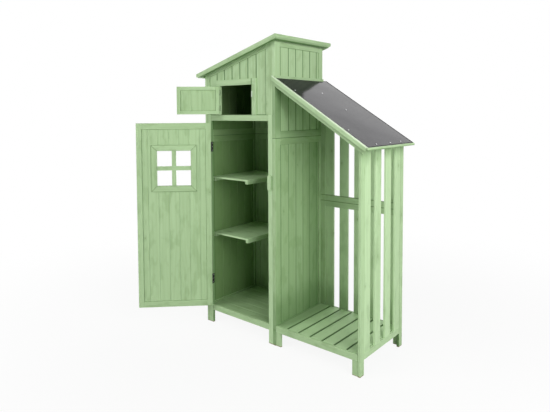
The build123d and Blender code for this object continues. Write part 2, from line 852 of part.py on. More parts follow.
# Back fence: a lower panel on feet and an upper one with a sloping top rail
x_fence_left = x_right + back_fence_left_w
x_fence_right = x_fence - back_fence_right_w
z_fence_lower = fence_joint_z - half_gap
z_fence_upper = fence_joint_z + half_gap
back_slat_run = spread(x_fence_left, x_fence_right, back_slats, slat_w)
fence_lower = [
    bar(x_right, 0, x_fence_left, z_fence_lower),
    bar(x_fence_right, 0, x_fence, z_fence_lower),
    bar(x_fence_left + half_gap, leg_h, x_fence_right - half_gap, z_sill_top),
    bar(x_fence_left + half_gap, z_fence_lower - fence_rail_h, x_fence_right - half_gap, z_fence_lower),
]
keep("back_fence_lower_frame", sticks(across(y_back), back_fence_t, fence_lower))
lower_slats = [bar(x0, z_sill_top, x1, z_fence_lower - fence_rail_h) for x0, x1 in back_slat_run]
keep("back_fence_lower_slats", sticks(across(y_back), slat_t, lower_slats))
rafter_low = rack_line(rack_cover_t + rafter_h)
fence_upper = [
    raked(x_right, x_fence_left, level(z_fence_upper), under_rack),
    raked(x_fence_right, x_fence, level(z_fence_upper), under_rack),
    bar(x_fence_left + half_gap, z_fence_upper, x_fence_right - half_gap, z_fence_upper + fence_rail_h),
    raked(x_fence_left + half_gap, x_fence_right - half_gap, rafter_low, under_rack),
]
keep("back_fence_upper_frame", sticks(across(y_back), back_fence_t, fence_upper))
slat_foot = level(z_fence_upper + fence_rail_h)
upper_slats = [raked(x0, x1, slat_foot, rafter_low) for x0, x1 in back_slat_run]
keep("back_fence_upper_slats", sticks(across(y_back), slat_t, upper_slats))

# Roof of the rack: front rafter, deck boards, felt, stepped barge board, eave and wall strips
x_rack_eave = x_end + rack_over_end
y_rack_roof = y_back + rack_over_back
rack_roof_len = y_rack_roof - y_front
rafter = raked(x_right, x_fence, rafter_low, under_rack)
keep("rack_rafter", sticks(across(y_front), -rack_rail_t, [rafter]))
rack_deck = [
    raked(x0 + board_gap / 2, x1 - board_gap / 2, under_rack, rack_line(felt_t))
    for x0, x1 in rip(x_right, x_rack_eave, rack_deck_board_w)
]
keep("rack_roof_deck", sticks(across(y_rack_roof), rack_roof_len, rack_deck))

with BuildPart() as rack_roof_felt:
    with BuildSketch(across(y_rack_roof)):
        with BuildLine():
            Polyline(*raked(x_right, x_rack_eave, rack_line(felt_t), rack_roof_z), close=True)
        make_face()
    extrude(amount=rack_roof_len)
keep("rack_roof_felt", rack_roof_felt)

x_barge = x_right - barge_lap


def barge_end(drop):
    """End at the eave, cut square to the roof, of the line drop below its top face."""
    x = x_rack_eave - drop * sin(radians(rack_pitch))
    return x, rack_roof_z(x, drop)


with BuildPart() as barge_board:
    for high, low, thickness in ((0, barge_face_h, barge_t), (barge_face_h, barge_h, barge_t - barge_step)):
        with BuildSketch(across(y_front)):
            with BuildLine():
                Polyline(
                    (x_barge, rack_roof_z(x_barge, low)),
                    barge_end(low),
                    barge_end(high),
                    (x_barge, rack_roof_z(x_barge, high)),
                    close=True,
                )
            make_face()
        extrude(amount=thickness)
    chamfer(barge_board.faces().filter_by(Plane.XZ).sort_by(Axis.Y)[0].edges(), ease)
keep("barge_board", barge_board)

with BuildPart() as eave_strip:
    with BuildSketch(across(y_rack_roof)):
        with BuildLine():
            Polyline(*raked(x_rack_eave, x_rack_eave + eave_t, rack_line(eave_h), rack_roof_z), close=True)
        make_face()
    extrude(amount=rack_roof_len + barge_t)
    chamfer(eave_strip.edges().filter_by(Axis.Y), ease)
keep("eave_strip", eave_strip)

strip_top = level(rack_top_z + wall_strip_h)
with BuildPart() as wall_strip:
    with BuildSketch(across(y_back)):
        with BuildLine():
            Polyline(*raked(x_right, x_right + wall_strip_w, rack_roof_z, strip_top), close=True)
        make_face()
    extrude(amount=depth)
    chamfer(wall_strip.faces().sort_by(Axis.Z)[-1].edges().filter_by(Axis.Y), ease)
keep("wall_strip", wall_strip)
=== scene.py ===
"""Looks of the painted timber tool shed: finishes, nails and screws, light and camera.

Metres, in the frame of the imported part: +X to the right along the front, +Y to the back, +Z up.
"""

import json
import logging
from collections.abc import Callable, Mapping, Sequence
from dataclasses import dataclass, replace
from enum import Enum
from math import cos, radians, sin
from typing import Any, ClassVar, Union

import bpy
from mathutils import Matrix, Vector

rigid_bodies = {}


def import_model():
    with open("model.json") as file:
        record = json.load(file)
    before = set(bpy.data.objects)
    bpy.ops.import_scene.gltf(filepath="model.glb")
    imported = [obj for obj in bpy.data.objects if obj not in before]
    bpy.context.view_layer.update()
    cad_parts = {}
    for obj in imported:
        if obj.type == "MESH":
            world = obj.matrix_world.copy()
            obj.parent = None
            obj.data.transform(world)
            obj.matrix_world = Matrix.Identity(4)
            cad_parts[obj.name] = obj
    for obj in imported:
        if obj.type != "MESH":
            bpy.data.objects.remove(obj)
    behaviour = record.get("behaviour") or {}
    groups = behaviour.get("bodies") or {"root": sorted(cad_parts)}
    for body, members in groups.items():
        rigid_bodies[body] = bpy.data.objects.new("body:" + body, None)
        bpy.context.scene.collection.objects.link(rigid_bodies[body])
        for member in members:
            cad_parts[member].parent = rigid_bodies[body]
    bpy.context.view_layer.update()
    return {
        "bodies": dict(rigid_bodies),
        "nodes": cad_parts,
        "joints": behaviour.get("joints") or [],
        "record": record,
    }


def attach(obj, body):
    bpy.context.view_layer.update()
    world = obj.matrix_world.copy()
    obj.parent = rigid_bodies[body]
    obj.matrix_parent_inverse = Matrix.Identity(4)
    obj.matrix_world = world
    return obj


log = logging.getLogger("tool_shed")

Pair = tuple[float, float]
Colour = tuple[float, float, float]
Point = tuple[float, float, float]
Nodes = Mapping[str, bpy.types.Object]
Value = Union["Sock", float]

TALL_PITCH = radians(16.4)
RACK_PITCH = radians(32.3)
HALF_RIGHT = sin(radians(45.0))

# How far a slice of space reaches past the faces of a stick, and past the end of a frame
CLEAR = 0.001
PAST = 0.010

# A place past the whole shed, and a hair's breadth that keeps a shared face out of a slice
FAR = 9.0
HAIR = 0.0002


class Way(Enum):
    """Directions that boards and sticks lie in, on the two roofs and on the open leaves too."""

    X = (1.0, 0.0, 0.0)
    Y = (0.0, 1.0, 0.0)
    Z = (0.0, 0.0, 1.0)
    UP_TALL = (cos(TALL_PITCH), 0.0, sin(TALL_PITCH))
    OUT_TALL = (-sin(TALL_PITCH), 0.0, cos(TALL_PITCH))
    DOWN_RACK = (cos(RACK_PITCH), 0.0, -sin(RACK_PITCH))
    OUT_RACK = (sin(RACK_PITCH), 0.0, cos(RACK_PITCH))
    LEAF = (-HALF_RIGHT, -HALF_RIGHT, 0.0)

    def reach(self, point: Point) -> float:
        """How far a point lies in this direction."""
        return Vector(self.value).dot(Vector(point))


X, Y, Z, UP_TALL, OUT_TALL, DOWN_RACK, OUT_RACK, LEAF = Way


class Edge(Enum):
    """What the long edges of boards look like: how strongly they are marked, and how far in.

    A joint with a strength below 0 is marked pale, as painted light against the shade that falls in it.
    """

    OPEN_JOINT = (0.92, 0.0055)
    SOFT_JOINT = (0.60, 0.0048)
    FINE_JOINT = (-0.14, 0.0024)
    TRIM = (0.45, 0.0030)
    GAP = (0.85, 0.0040)
    ARRIS = (0.55, 0.0045)


def operator_for(operation: str, turned: bool = False) -> Callable[["Sock", Value], "Sock"]:
    """Makes an arithmetic method of Sock.

    Args:
        operation: The Math node's operation.
        turned: Whether the other value comes first.

    Returns:
        The method.
    """

    def method(sock: "Sock", other: Value) -> "Sock":
        """Result of the operation on this value and another one."""
        return sock.graph.maths(operation, *((other, sock) if turned else (sock, other)))

    return method


@dataclass(frozen=True, eq=False)
class Sock:
    """An output of a node that takes part in arithmetic, which adds Math nodes."""

    graph: "Graph"
    socket: bpy.types.NodeSocket

    __add__ = operator_for("ADD")
    __radd__ = operator_for("ADD", turned=True)
    __sub__ = operator_for("SUBTRACT")
    __rsub__ = operator_for("SUBTRACT", turned=True)
    __mul__ = operator_for("MULTIPLY")
    __truediv__ = operator_for("DIVIDE")

    def clamp(self, low: float = 0.0, high: float = 1.0) -> "Sock":
        """This value kept between low and high."""
        return self.graph.maths("MINIMUM", self.graph.maths("MAXIMUM", self, low), high)

    def ease(self, start: float, stop: float) -> "Sock":
        """Smooth step from 0 to 1.

        Args:
            start: This value where the step is 0.
            stop: This value where it is 1.

        Returns:
            The step.
        """
        return self.graph.out(
            "ShaderNodeMapRange",
            "Result",
            {"interpolation_type": "SMOOTHSTEP"},
            {"Value": self, "From Min": start, "From Max": stop},
        )


class Graph:
    """A node tree that is written as expressions."""

    def __init__(self, tree: bpy.types.NodeTree) -> None:
        """Takes a tree and empties it.

        Args:
            tree: The node tree of a material or of the world.
        """
        self.tree = tree
        tree.nodes.clear()

    @staticmethod
    def find(sockets: bpy.types.bpy_prop_collection, key: str | int) -> bpy.types.NodeSocket:
        """Finds a socket of a node.

        Args:
            sockets: The node's inputs or outputs.
            key: The socket's place, identifier or name.

        Returns:
            The socket.
        """
        if isinstance(key, int):
            return sockets[key]
        named = [s for s in sockets if s.identifier == key]
        return (named or [s for s in sockets if s.name == key and s.enabled])[0]

    def node(
        self,
        kind: str,
        settings: Mapping[str, Any] | None = None,
        sockets: Mapping[str | int, Any] | None = None,
    ) -> bpy.types.Node:
        """Adds a node.

        Args:
            kind: The node's type.
            settings: Its properties, which are set first.
            sockets: Values or links of its inputs.

        Returns:
            The node.
        """
        made = self.tree.nodes.new(kind)
        for name, value in (settings or {}).items():
            setattr(made, name, value)
        for key, value in (sockets or {}).items():
            target = self.find(made.inputs, key)
            if isinstance(value, Sock):
                self.tree.links.new(value.socket, target)
            elif target.type == "RGBA":
                target.default_value = (*value, 1.0)
            else:
                target.default_value = value
        return made

    def outs(self, kind: str, keys: Sequence[str], *more: Mapping[str | int, Any] | None) -> list[Sock]:
        """Adds a node and gives some of its outputs.

        Args:
            kind: The node's type.
            keys: The outputs' identifiers or names.
            *more: Its settings and sockets, as in node.

        Returns:
            The outputs.
        """
        made = self.node(kind, *more)
        return [Sock(self, self.find(made.outputs, key)) for key in keys]

    def out(self, kind: str, key: str, *more: Mapping[str | int, Any] | None) -> Sock:
        """Adds a node and gives the output of that key."""
        return self.outs(kind, (key,), *more)[0]

    def maths(self, operation: str, *values: Value) -> Sock:
        """Result of a Math node on some values."""
        return self.out("ShaderNodeMath", "Value", {"operation": operation}, dict(enumerate(values)))

    def place(self) -> Sock:
        """Point of the surface in the shed's frame."""
        return self.out("ShaderNodeTexCoord", "Object")

    def dot(self, point: Sock, direction: Point) -> Sock:
        """Scalar product of a point and a direction."""
        sockets = {0: point, 1: direction}
        return self.out("ShaderNodeVectorMath", "Value", {"operation": "DOT_PRODUCT"}, sockets)

    def off(self, point: Sock, way: Way, place: float) -> Sock:
        """How far a point lies from a place in a direction, on either side."""
        return self.maths("ABSOLUTE", self.dot(point, way.value) - place)

    def pack(self, x: Value, y: Value, z: Value) -> Sock:
        """Vector of three values."""
        return self.out("ShaderNodeCombineXYZ", "Vector", None, {0: x, 1: y, 2: z})

    def vector(self, operation: str, first: Sock, second: Sock | Point) -> Sock:
        """Result of a Vector Math node on two vectors."""
        return self.out("ShaderNodeVectorMath", "Vector", {"operation": operation}, {0: first, 1: second})

    def length(self, vector: Sock) -> Sock:
        """Length of a vector."""
        return self.out("ShaderNodeVectorMath", "Value", {"operation": "LENGTH"}, {0: vector})

    def blend(self, factor: Value, first: Sock, second: Sock) -> Sock:
        """First vector where the factor is 0, second where it is 1."""
        sockets = {"Factor_Float": factor, "A_Vector": first, "B_Vector": second}
        return self.out("ShaderNodeMix", "Result_Vector", {"data_type": "VECTOR"}, sockets)

    def tint(self, factor: Value, first: Sock | Colour, second: Sock | Colour) -> Sock:
        """First colour where the factor is 0, second where it is 1."""
        sockets = {"Factor_Float": factor, "A_Color": first, "B_Color": second}
        return self.out("ShaderNodeMix", "Result_Color", {"data_type": "RGBA"}, sockets)

    def noise(self, point: Sock, scale: Point | float, detail: float) -> Sock:
        """Noise whose frequency is given per metre.

        Args:
            point: Where the noise is taken.
            scale: Frequencies in the point's three directions, or one for all.
            detail: Octaves.

        Returns:
            Values about 0.5.
        """
        each = (scale,) * 3 if isinstance(scale, float) else scale
        spot = self.vector("MULTIPLY", point, each)
        sockets = {"Vector": spot, "Scale": 1.0, "Detail": detail, "Roughness": 0.55}
        return self.out("ShaderNodeTexNoise", "Fac", {"noise_dimensions": "3D"}, sockets)

    def shader(self, height: Sock, depth: float, **sockets: Any) -> Sock:
        """A shader with a bump.

        Args:
            height: Height of the bump, from 0 to 1.
            depth: Depth of the bump in metres.
            **sockets: The shader's inputs, with _ for the space in a name.

        Returns:
            The shader.
        """
        bump = {"Strength": 1.0, "Distance": depth, "Height": height}
        inputs = {name.replace("_", " "): value for name, value in sockets.items()}
        inputs["Normal"] = self.out("ShaderNodeBump", "Normal", None, bump)
        return self.out("ShaderNodeBsdfPrincipled", "BSDF", None, inputs)

    def mix(self, factor: Sock, first: Sock, second: Sock) -> Sock:
        """First shader where the factor is 0, second where it is 1."""
        return self.out("ShaderNodeMixShader", "Shader", None, {0: factor, 1: first, 2: second})

    def surface(self, shader: Sock) -> None:
        """Ends a material in a shader."""
        self.node("ShaderNodeOutputMaterial", None, {"Surface": shader})


def new_material(name: str) -> tuple[bpy.types.Material, Graph]:
    """A new material and the graph of its nodes.

    Args:
        name: The material's name.

    Returns:
        The material and its graph.
    """
    material = bpy.data.materials.new(name)
    material.use_nodes = True
    return material, Graph(material.node_tree)


def put_on(piece: bpy.types.Object, material: bpy.types.Material) -> None:
    """Puts a material in every slot of a piece.

    Args:
        piece: The piece.
        material: The material.
    """
    if not piece.material_slots:
        piece.data.materials.append(material)
    for place in piece.material_slots:
        place.material = material


@dataclass(frozen=True)
class Band:
    """A slice of space, from low to high in one direction."""

    way: Way
    low: float
    high: float

    def inside(self, g: Graph, point: Sock) -> Sock:
        """1 where the point lies in the slice, 0 elsewhere."""
        off = g.off(point, self.way, (self.low + self.high) / 2)
        return g.maths("LESS_THAN", off, (self.high - self.low) / 2)


@dataclass(frozen=True)
class Mitre:
    """What lies above and below an upright opening, as far as its mitred corners."""

    way: Way
    middle: Pair
    half: Pair

    def beyond(self, g: Graph, point: Sock) -> Sock:
        """How much further a point lies beyond the opening in height than in width.

        Args:
            g: The material's graph.
            point: The point.

        Returns:
            The difference, which is 0 on the corners' mitres.
        """
        wide = g.off(point, self.way, self.middle[0]) - self.half[0]
        tall = g.off(point, Z, self.middle[1]) - self.half[1]
        return tall - wide

    def inside(self, g: Graph, point: Sock) -> Sock:
        """1 where the point lies above or below the opening, 0 elsewhere."""
        return g.maths("GREATER_THAN", self.beyond(g, point), 0.0)


@dataclass(frozen=True)
class Boards:
    """Equal boards or sticks that lie side by side, and where in their node they are."""

    grain: Way
    across: Way
    start: float
    width: float
    count: int = 1
    pitch: float = 1.0
    where: tuple[Band | Mitre, ...] = ()


@dataclass(frozen=True)
class Mark:
    """A strip across a node's boards that differs from them, such as a dark joint, painted shade or a
    painted highlight.
    """

    way: Way
    place: float
    strength: float = 0.70
    half: float = 0.0026
    full: ClassVar[float] = 0.4

    def share(self, g: Graph, point: Sock) -> Sock:
        """How much of it shows at a point, all of it within the full share of its width."""
        away = g.off(point, self.way, self.place)
        return away.ease(self.half, self.half * self.full) * self.strength


@dataclass(frozen=True)
class Coat:
    """One node's paint.

    Its boards, the first group being where no other one is, their edges, the outer side that
    these are marked on and how strong the painted shade on the other side is, dark strips, both
    joints and painted shade, strips of painted highlight, how pale the paint is from 0 to 1, and
    whether the boards stand on the ground, with bare wood at the cut end.
    """

    groups: tuple[Boards, ...]
    edges: Edge = Edge.ARRIS
    side: Band | None = None
    thin: float = 0.45
    marks: tuple[Mark, ...] = ()
    glints: tuple[Mark, ...] = ()
    tone: float = 0.5
    foot: bool = False

    def plus(self, *marks: Mark, **changes: Any) -> "Coat":
        """The same coat with more dark strips and some other values."""
        return replace(self, marks=(*self.marks, *marks), **changes)


@dataclass(frozen=True)
class Finish:
    """A look that is worked out from the place on the surface.

    A field that is named for what its noise makes, such as streaks or pores, is the noise's
    frequency per metre.
    """

    def sheet(self, g: Graph, point: Sock) -> Sock:
        """The shader.

        Args:
            g: The material's graph.
            point: Point of the surface.

        Returns:
            The shader.
        """
        raise NotImplementedError

    def material(self, name: str) -> bpy.types.Material:
        """Makes the material.

        Args:
            name: Its name.

        Returns:
            The material.
        """
        material, g = new_material(name)
        g.surface(self.sheet(g, g.place()))
        return material


@dataclass(frozen=True)
class PaintedTimber(Finish):
    """Thin sage green paint over planed softwood, with the grain and the knots showing through.

    The grain follows each of the coat's boards, and the seed sets it apart from other nodes'.
    """

    coat: Coat
    seed: int
    deep: Colour = (0.300, 0.446, 0.222)
    pale: Colour = (0.475, 0.652, 0.378)
    knot: Colour = (0.190, 0.310, 0.130)
    joint: Colour = (0.078, 0.172, 0.048)
    # Painted shade: the colour that a coat's inner side is tinted towards
    thin: Colour = (0.120, 0.225, 0.065)
    bare: Colour = (0.270, 0.180, 0.100)
    # Pale colour of the painted highlights, and of fine joints that are marked pale as painted light
    wear_and_highlight: Colour = (0.720, 0.850, 0.640)
    roughness: float = 0.50
    ior: float = 1.30
    bump: float = 0.0006
    seed_step: int = 101
    group_step: float = 20.0
    board_shift: Point = (7.0, 5.0, 9.0)
    fibres: Point = (420.0, 420.0, 9.0)
    streaks: Point = (75.0, 75.0, 1.9)
    warps: Point = (9.0, 9.0, 1.1)
    blotches: float = 3.1
    clouds: Point = (19.0, 19.0, 8.0)
    worn_spots: Point = (30.0, 30.0, 14.0)
    rings: float = 42.0
    knot_cell: Pair = (0.10, 0.42)
    knot_sizes: Pair = (0.004, 0.006)
    knot_limit: float = 0.55
    seam: float = 0.0022
    foot_reach: float = 0.0060
    foot_wander: float = 0.0060

    def lay(self, g: Graph, point: Sock, boards: Boards, number: int) -> tuple[Sock, Sock, Value]:
        """Sets out one group of boards.

        Args:
            g: The material's graph.
            point: Point of the surface.
            boards: The group.
            number: The group's number in its node.

        Returns:
            The point on its board as across, through and along, its distance from the board's
            edge, and the board's own number.
        """
        across = g.dot(point, boards.across.value) - boards.start
        along = g.dot(point, boards.grain.value)
        depth = Vector(boards.grain.value).cross(Vector(boards.across.value))
        own: Value = self.group_step * number
        if boards.count > 1:
            index = g.maths("FLOOR", across / boards.pitch).clamp(0.0, boards.count - 1.0)
            across = across - index * boards.pitch
            own = index + own
        edge = g.maths("MINIMUM", across, boards.width - across)
        return g.pack(across, g.dot(point, tuple(depth)), along), edge, own

    def spread(self, g: Graph, point: Sock) -> tuple[Sock, Sock, Value]:
        """Sets out all groups of boards, each where it lies.

        Args:
            g: The material's graph.
            point: Point of the surface.

        Returns:
            The same three as for one group.
        """
        spot, edge, own = self.lay(g, point, self.coat.groups[0], 0)
        for number, boards in enumerate(self.coat.groups[1:], 1):
            mask, *others = (band.inside(g, point) for band in boards.where)
            for other in others:
                mask = mask * other
            next_spot, next_edge, next_own = self.lay(g, point, boards, number)
            spot = g.blend(mask, spot, next_spot)
            edge = edge + mask * (next_edge - edge)
            own = own + mask * (next_own - own)
        return spot, edge, own

    def knots(self, g: Graph, across: Sock, along: Sock) -> tuple[Sock, Sock]:
        """Scatters knots over the boards.

        Args:
            g: The material's graph.
            across: Place across the board.
            along: Place along it.

        Returns:
            How much of a knot shows, and of the grain that runs round it.
        """
        wide, tall = self.knot_cell
        cell = g.pack(across / wide, along / tall, 0.0)
        colour, centre = g.outs(
            "ShaderNodeTexVoronoi",
            ("Color", "Position"),
            {"voronoi_dimensions": "2D"},
            {"Vector": cell, "Scale": 1.0, "Randomness": 0.9},
        )
        first, second = g.outs("ShaderNodeSeparateColor", ("Red", "Green"), None, {"Color": colour})
        off = g.vector("SUBTRACT", centre, cell)
        away = g.length(g.vector("MULTIPLY", off, (wide, 0.6 * tall, 0.0)))
        least, spread = self.knot_sizes
        ratio = away / (first * spread + least)
        here = g.maths("GREATER_THAN", second, self.knot_limit)
        return ratio.ease(1.15, 0.55) * here, ratio.ease(4.5, 0.6) * here

    def sheet(self, g: Graph, point: Sock) -> Sock:
        """The paint.

        Args:
            g: The material's graph.
            point: Point of the surface.

        Returns:
            The shader.
        """
        spot, edge, own = self.spread(g, point)
        drawn = {"W": own + float(self.seed_step * self.seed)}
        chance, board = g.outs(
            "ShaderNodeTexWhiteNoise", ("Color", "Value"), {"noise_dimensions": "1D"}, drawn
        )
        grain = g.vector("ADD", spot, g.vector("MULTIPLY", chance, self.board_shift))
        fibre = g.noise(grain, self.fibres, 4.0)
        streak = g.noise(grain, self.streaks, 3.0)
        warp = g.noise(grain, self.warps, 2.0)
        blotch = g.noise(point, self.blotches, 2.0)
        cloud = g.noise(grain, self.clouds, 2.0).ease(0.50, 0.68)
        worn = g.noise(grain, self.worn_spots, 2.0)
        across, along = g.outs("ShaderNodeSeparateXYZ", ("X", "Z"), None, {"Vector": grain})
        core, halo = self.knots(g, across, along)
        ring = g.maths("FRACT", across * self.rings + warp * 5.5 + halo * 1.6)
        late = ring.ease(0.35, 0.92) * ring.ease(1.0, 0.93)

        tone = (
            self.coat.tone
            + (streak - 0.5) * 0.50
            + (fibre - 0.5) * 0.34
            + (board - 0.5) * 0.26
            + (blotch - 0.5) * 0.30
            - (cloud - 0.3) * 0.36
            - late * 0.10
        )
        strength, reach = self.coat.edges.value
        if self.coat.edges is Edge.ARRIS:
            tone = tone + edge.ease(reach, 0.0) * (worn - 0.2) * strength
        colour = g.tint(tone.clamp(), self.deep, self.pale)
        colour = g.tint(core * 0.55, colour, self.knot)
        colour = g.tint((halo - core).clamp() * 0.22, colour, self.knot)
        dip: Value = 0.0
        outer: Value = 1.0
        if self.coat.side:
            outer = self.coat.side.inside(g, point)
            # Painted shade on the inner side of the node
            colour = g.tint((1.0 - outer) * self.coat.thin, colour, self.thin)
        if self.coat.edges is not Edge.ARRIS:
            dip = edge.ease(reach, reach * 0.25) * outer
            # Fine joints are marked pale as painted light against their shade; the others are dark joints
            joint_tint = self.joint if strength > 0.0 else self.wear_and_highlight
            colour = g.tint(dip * abs(strength), colour, joint_tint)
        # Marks are dark joints and painted shade; glints are painted highlights
        for marks, tint in ((self.coat.marks, self.joint), (self.coat.glints, self.wear_and_highlight)):
            for mark in marks:
                colour = g.tint(mark.share(g, point), colour, tint)
        for corner in (c for boards in self.coat.groups for c in boards.where if isinstance(c, Mitre)):
            seam = g.maths("ABSOLUTE", corner.beyond(g, point)).ease(self.seam, self.seam * 0.3)
            colour = g.tint(seam * 0.55, colour, self.joint)
        if self.coat.foot:
            height = g.dot(point, Z.value) + (worn - 0.5) * self.foot_wander
            cut = height.ease(self.foot_reach, self.foot_reach * 0.4)
            colour = g.tint(cut * 0.85, colour, self.bare)
        rough = (fibre - 0.5) * 0.30 + (blotch - 0.5) * 0.16 + self.roughness
        return g.shader(
            fibre * 0.55 + late * 0.22 + streak * 0.20 - core * 0.25 - dip * 0.30,
            self.bump,
            Base_Color=colour,
            Roughness=rough.clamp(0.30, 0.80),
            IOR=self.ior,
        )


@dataclass(frozen=True)
class RoofFelt(Finish):
    """Smooth bitumen roofing felt, dark grey, a little wavy, with a fine mineral grain and dull edges
    that are partly painted shadow.
    """

    hems_and_shadow: tuple[Mark, ...]
    dark: Colour = (0.014, 0.013, 0.017)
    light: Colour = (0.037, 0.035, 0.042)
    # Colour of the felt's dull edges, which are partly painted shadow
    hem_and_shadow: Colour = (0.020, 0.021, 0.020)
    roughness: float = 0.13
    wave: float = 0.0030
    ior: float = 1.108
    grits: float = 900.0
    clouds: float = 14.0
    swells: Point = (3.6, 3.0, 3.6)
    scuffs: Point = (60.0, 9.0, 60.0)

    def sheet(self, g: Graph, point: Sock) -> Sock:
        """The felt.

        Args:
            g: The material's graph.
            point: Point of the surface.

        Returns:
            The shader.
        """
        grit = g.noise(point, self.grits, 2.0)
        cloud = g.noise(point, self.clouds, 3.0)
        swell = g.noise(point, self.swells, 1.0)
        scuff = g.noise(point, self.scuffs, 3.0)
        tone = 0.4 + (grit - 0.5) * 1.1 + (cloud - 0.5) * 0.7 + (scuff - 0.5) * 0.3
        rough = (cloud - 0.5) * 0.14 + (grit - 0.5) * 0.10 + self.roughness
        smooth = g.shader(
            swell + grit * 0.006 + cloud * 0.04,
            self.wave,
            Base_Color=g.tint(tone.clamp(), self.dark, self.light),
            Roughness=rough.clamp(0.10, 0.60),
            IOR=self.ior,
        )
        dull = (self.hems_and_shadow[0].share(g, point) + (scuff - 0.5) * 0.2).clamp()
        for hem_and_shadow in self.hems_and_shadow[1:]:
            dull = g.maths("MAXIMUM", dull, hem_and_shadow.share(g, point))
        return g.mix(dull, smooth, g.out("ShaderNodeBsdfDiffuse", "BSDF", None, {"Color": self.hem_and_shadow}))


@dataclass(frozen=True)
class BlackSteel(Finish):
    """Black lacquered hinge steel, worn grey here and there, and some paint brushed over it."""

    lacquer: Colour = (0.012, 0.012, 0.013)
    wear_and_highlight: Colour = (0.085, 0.082, 0.078)
    paint: Colour = (0.300, 0.440, 0.225)
    cover: float = 0.0
    roughness: float = 0.38
    bump: float = 0.00008
    peels: float = 700.0
    rubs: Point = (120.0, 120.0, 60.0)
    scratches: Point = (1500.0, 1500.0, 60.0)

    def sheet(self, g: Graph, point: Sock) -> Sock:
        """The lacquer.

        Args:
            g: The material's graph.
            point: Point of the surface.

        Returns:
            The shader.
        """
        peel = g.noise(point, self.peels, 2.0)
        rub = g.noise(point, self.rubs, 4.0)
        scratch = g.noise(point, self.scratches, 2.0)
        wear = (rub.ease(0.52, 0.72) * 0.6 + scratch.ease(0.62, 0.75) * 0.5).clamp()
        rough = (peel - 0.5) * 0.2 + wear * 0.10 + self.roughness
        brushed = ((rub - 0.5) * 1.2 + self.cover * 1.6 - 0.3).clamp()
        return g.shader(
            peel * 0.6 + scratch * 0.4,
            self.bump,
            Base_Color=g.tint(brushed, g.tint(wear, self.lacquer, self.wear_and_highlight), self.paint),
            Roughness=rough.clamp(0.2, 0.8),
            Metallic=wear * (1.0 - brushed) * 0.5,
        )


@dataclass(frozen=True)
class Zinc(Finish):
    """Bright zinc plating with a faint crystal pattern, and some paint brushed over it."""

    grey: Colour = (0.50, 0.51, 0.52)
    bright: Colour = (0.82, 0.83, 0.83)
    paint: Colour = (0.385, 0.550, 0.300)
    cover: float = 0.0
    roughness: float = 0.34
    bump: float = 0.00006
    crystals: float = 800.0
    films: float = 260.0

    def sheet(self, g: Graph, point: Sock) -> Sock:
        """The plating.

        Args:
            g: The material's graph.
            point: Point of the surface.

        Returns:
            The shader.
        """
        cells = {"Vector": point, "Scale": self.crystals, "Randomness": 1.0}
        crystal = g.out("ShaderNodeTexVoronoi", "Color", {"voronoi_dimensions": "3D"}, cells)
        flake = g.out("ShaderNodeSeparateColor", "Red", None, {"Color": crystal})
        film = g.noise(point, self.films, 3.0)
        rough = flake * 0.14 + (film - 0.5) * 0.25 + self.roughness
        metal = g.tint((flake * 0.6 + film * 0.5).clamp(), self.grey, self.bright)
        brushed = ((film - 0.5) * 1.2 + self.cover * 1.6 - 0.3).clamp()
        return g.shader(
            film,
            self.bump,
            Base_Color=g.tint(brushed, metal, self.paint),
            Roughness=rough.clamp(0.15, 0.7),
            Metallic=(1.0 - brushed) * 0.55,
        )


@dataclass(frozen=True)
class PalePlastic(Finish):
    """Moulded off-white plastic with a fine texture."""

    cool: Colour = (0.520, 0.630, 0.480)
    warm: Colour = (0.640, 0.750, 0.600)
    roughness: float = 0.42
    bump: float = 0.00006
    ior: float = 1.46
    pores: float = 1100.0
    hazes: float = 90.0

    def sheet(self, g: Graph, point: Sock) -> Sock:
        """The plastic.

        Args:
            g: The material's graph.
            point: Point of the surface.

        Returns:
            The shader.
        """
        skin = g.noise(point, self.pores, 2.0)
        haze = g.noise(point, self.hazes, 3.0)
        rough = (skin - 0.5) * 0.2 + (haze - 0.5) * 0.2 + self.roughness
        return g.shader(
            skin,
            self.bump,
            Base_Color=g.tint((haze + (skin - 0.5) * 0.4).clamp(), self.cool, self.warm),
            Roughness=rough.clamp(0.2, 0.7),
            IOR=self.ior,
        )


class Painted:
    """A sub-assembly whose nodes are painted timber, each with its own seed from the first one on."""

    first_seed: ClassVar[int]

    def coats(self) -> dict[str, Coat]:
        """The paint of each node by the node's name."""
        raise NotImplementedError

    def dress(self, nodes: Nodes) -> None:
        """Paints the sub-assembly's nodes.

        Args:
            nodes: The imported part's nodes by name.
        """
        for seed, (name, paint) in enumerate(self.coats().items(), self.first_seed):
            put_on(nodes[name], PaintedTimber(paint, seed).material(f"paint_{name}"))
            log.info("painted %s", name)


def coat(*groups: Boards, **options: Any) -> Coat:
    """Paint of some groups of boards, with the other values of Coat by name."""
    return Coat(groups, **options)


def stick(grain: Way, across: Way, start: float, width: float, *where: Band | Mitre) -> Boards:
    """One stick, and where in its node it is."""
    return Boards(grain, across, start, width, where=where)


def run(grain: Way, across: Way, start: float, width: float, count: int, pitch: float = 0.0) -> Boards:
    """Boards side by side, edge to edge where no pitch is given."""
    return Boards(grain, across, start, width, count, pitch or width)


def two(grain: Way, across: Way, starts: Pair, width: float, split: Pair) -> tuple[Boards, Boards]:
    """Two equal sticks.

    Args:
        grain: Their direction.
        across: Direction from the first to the second.
        starts: Where each one starts across.
        width: Their width.
        split: Slice that the second one alone lies in.

    Returns:
        The two sticks.
    """
    first, second = (stick(grain, across, start, width) for start in starts)
    return first, replace(second, where=(Band(across, *split),))


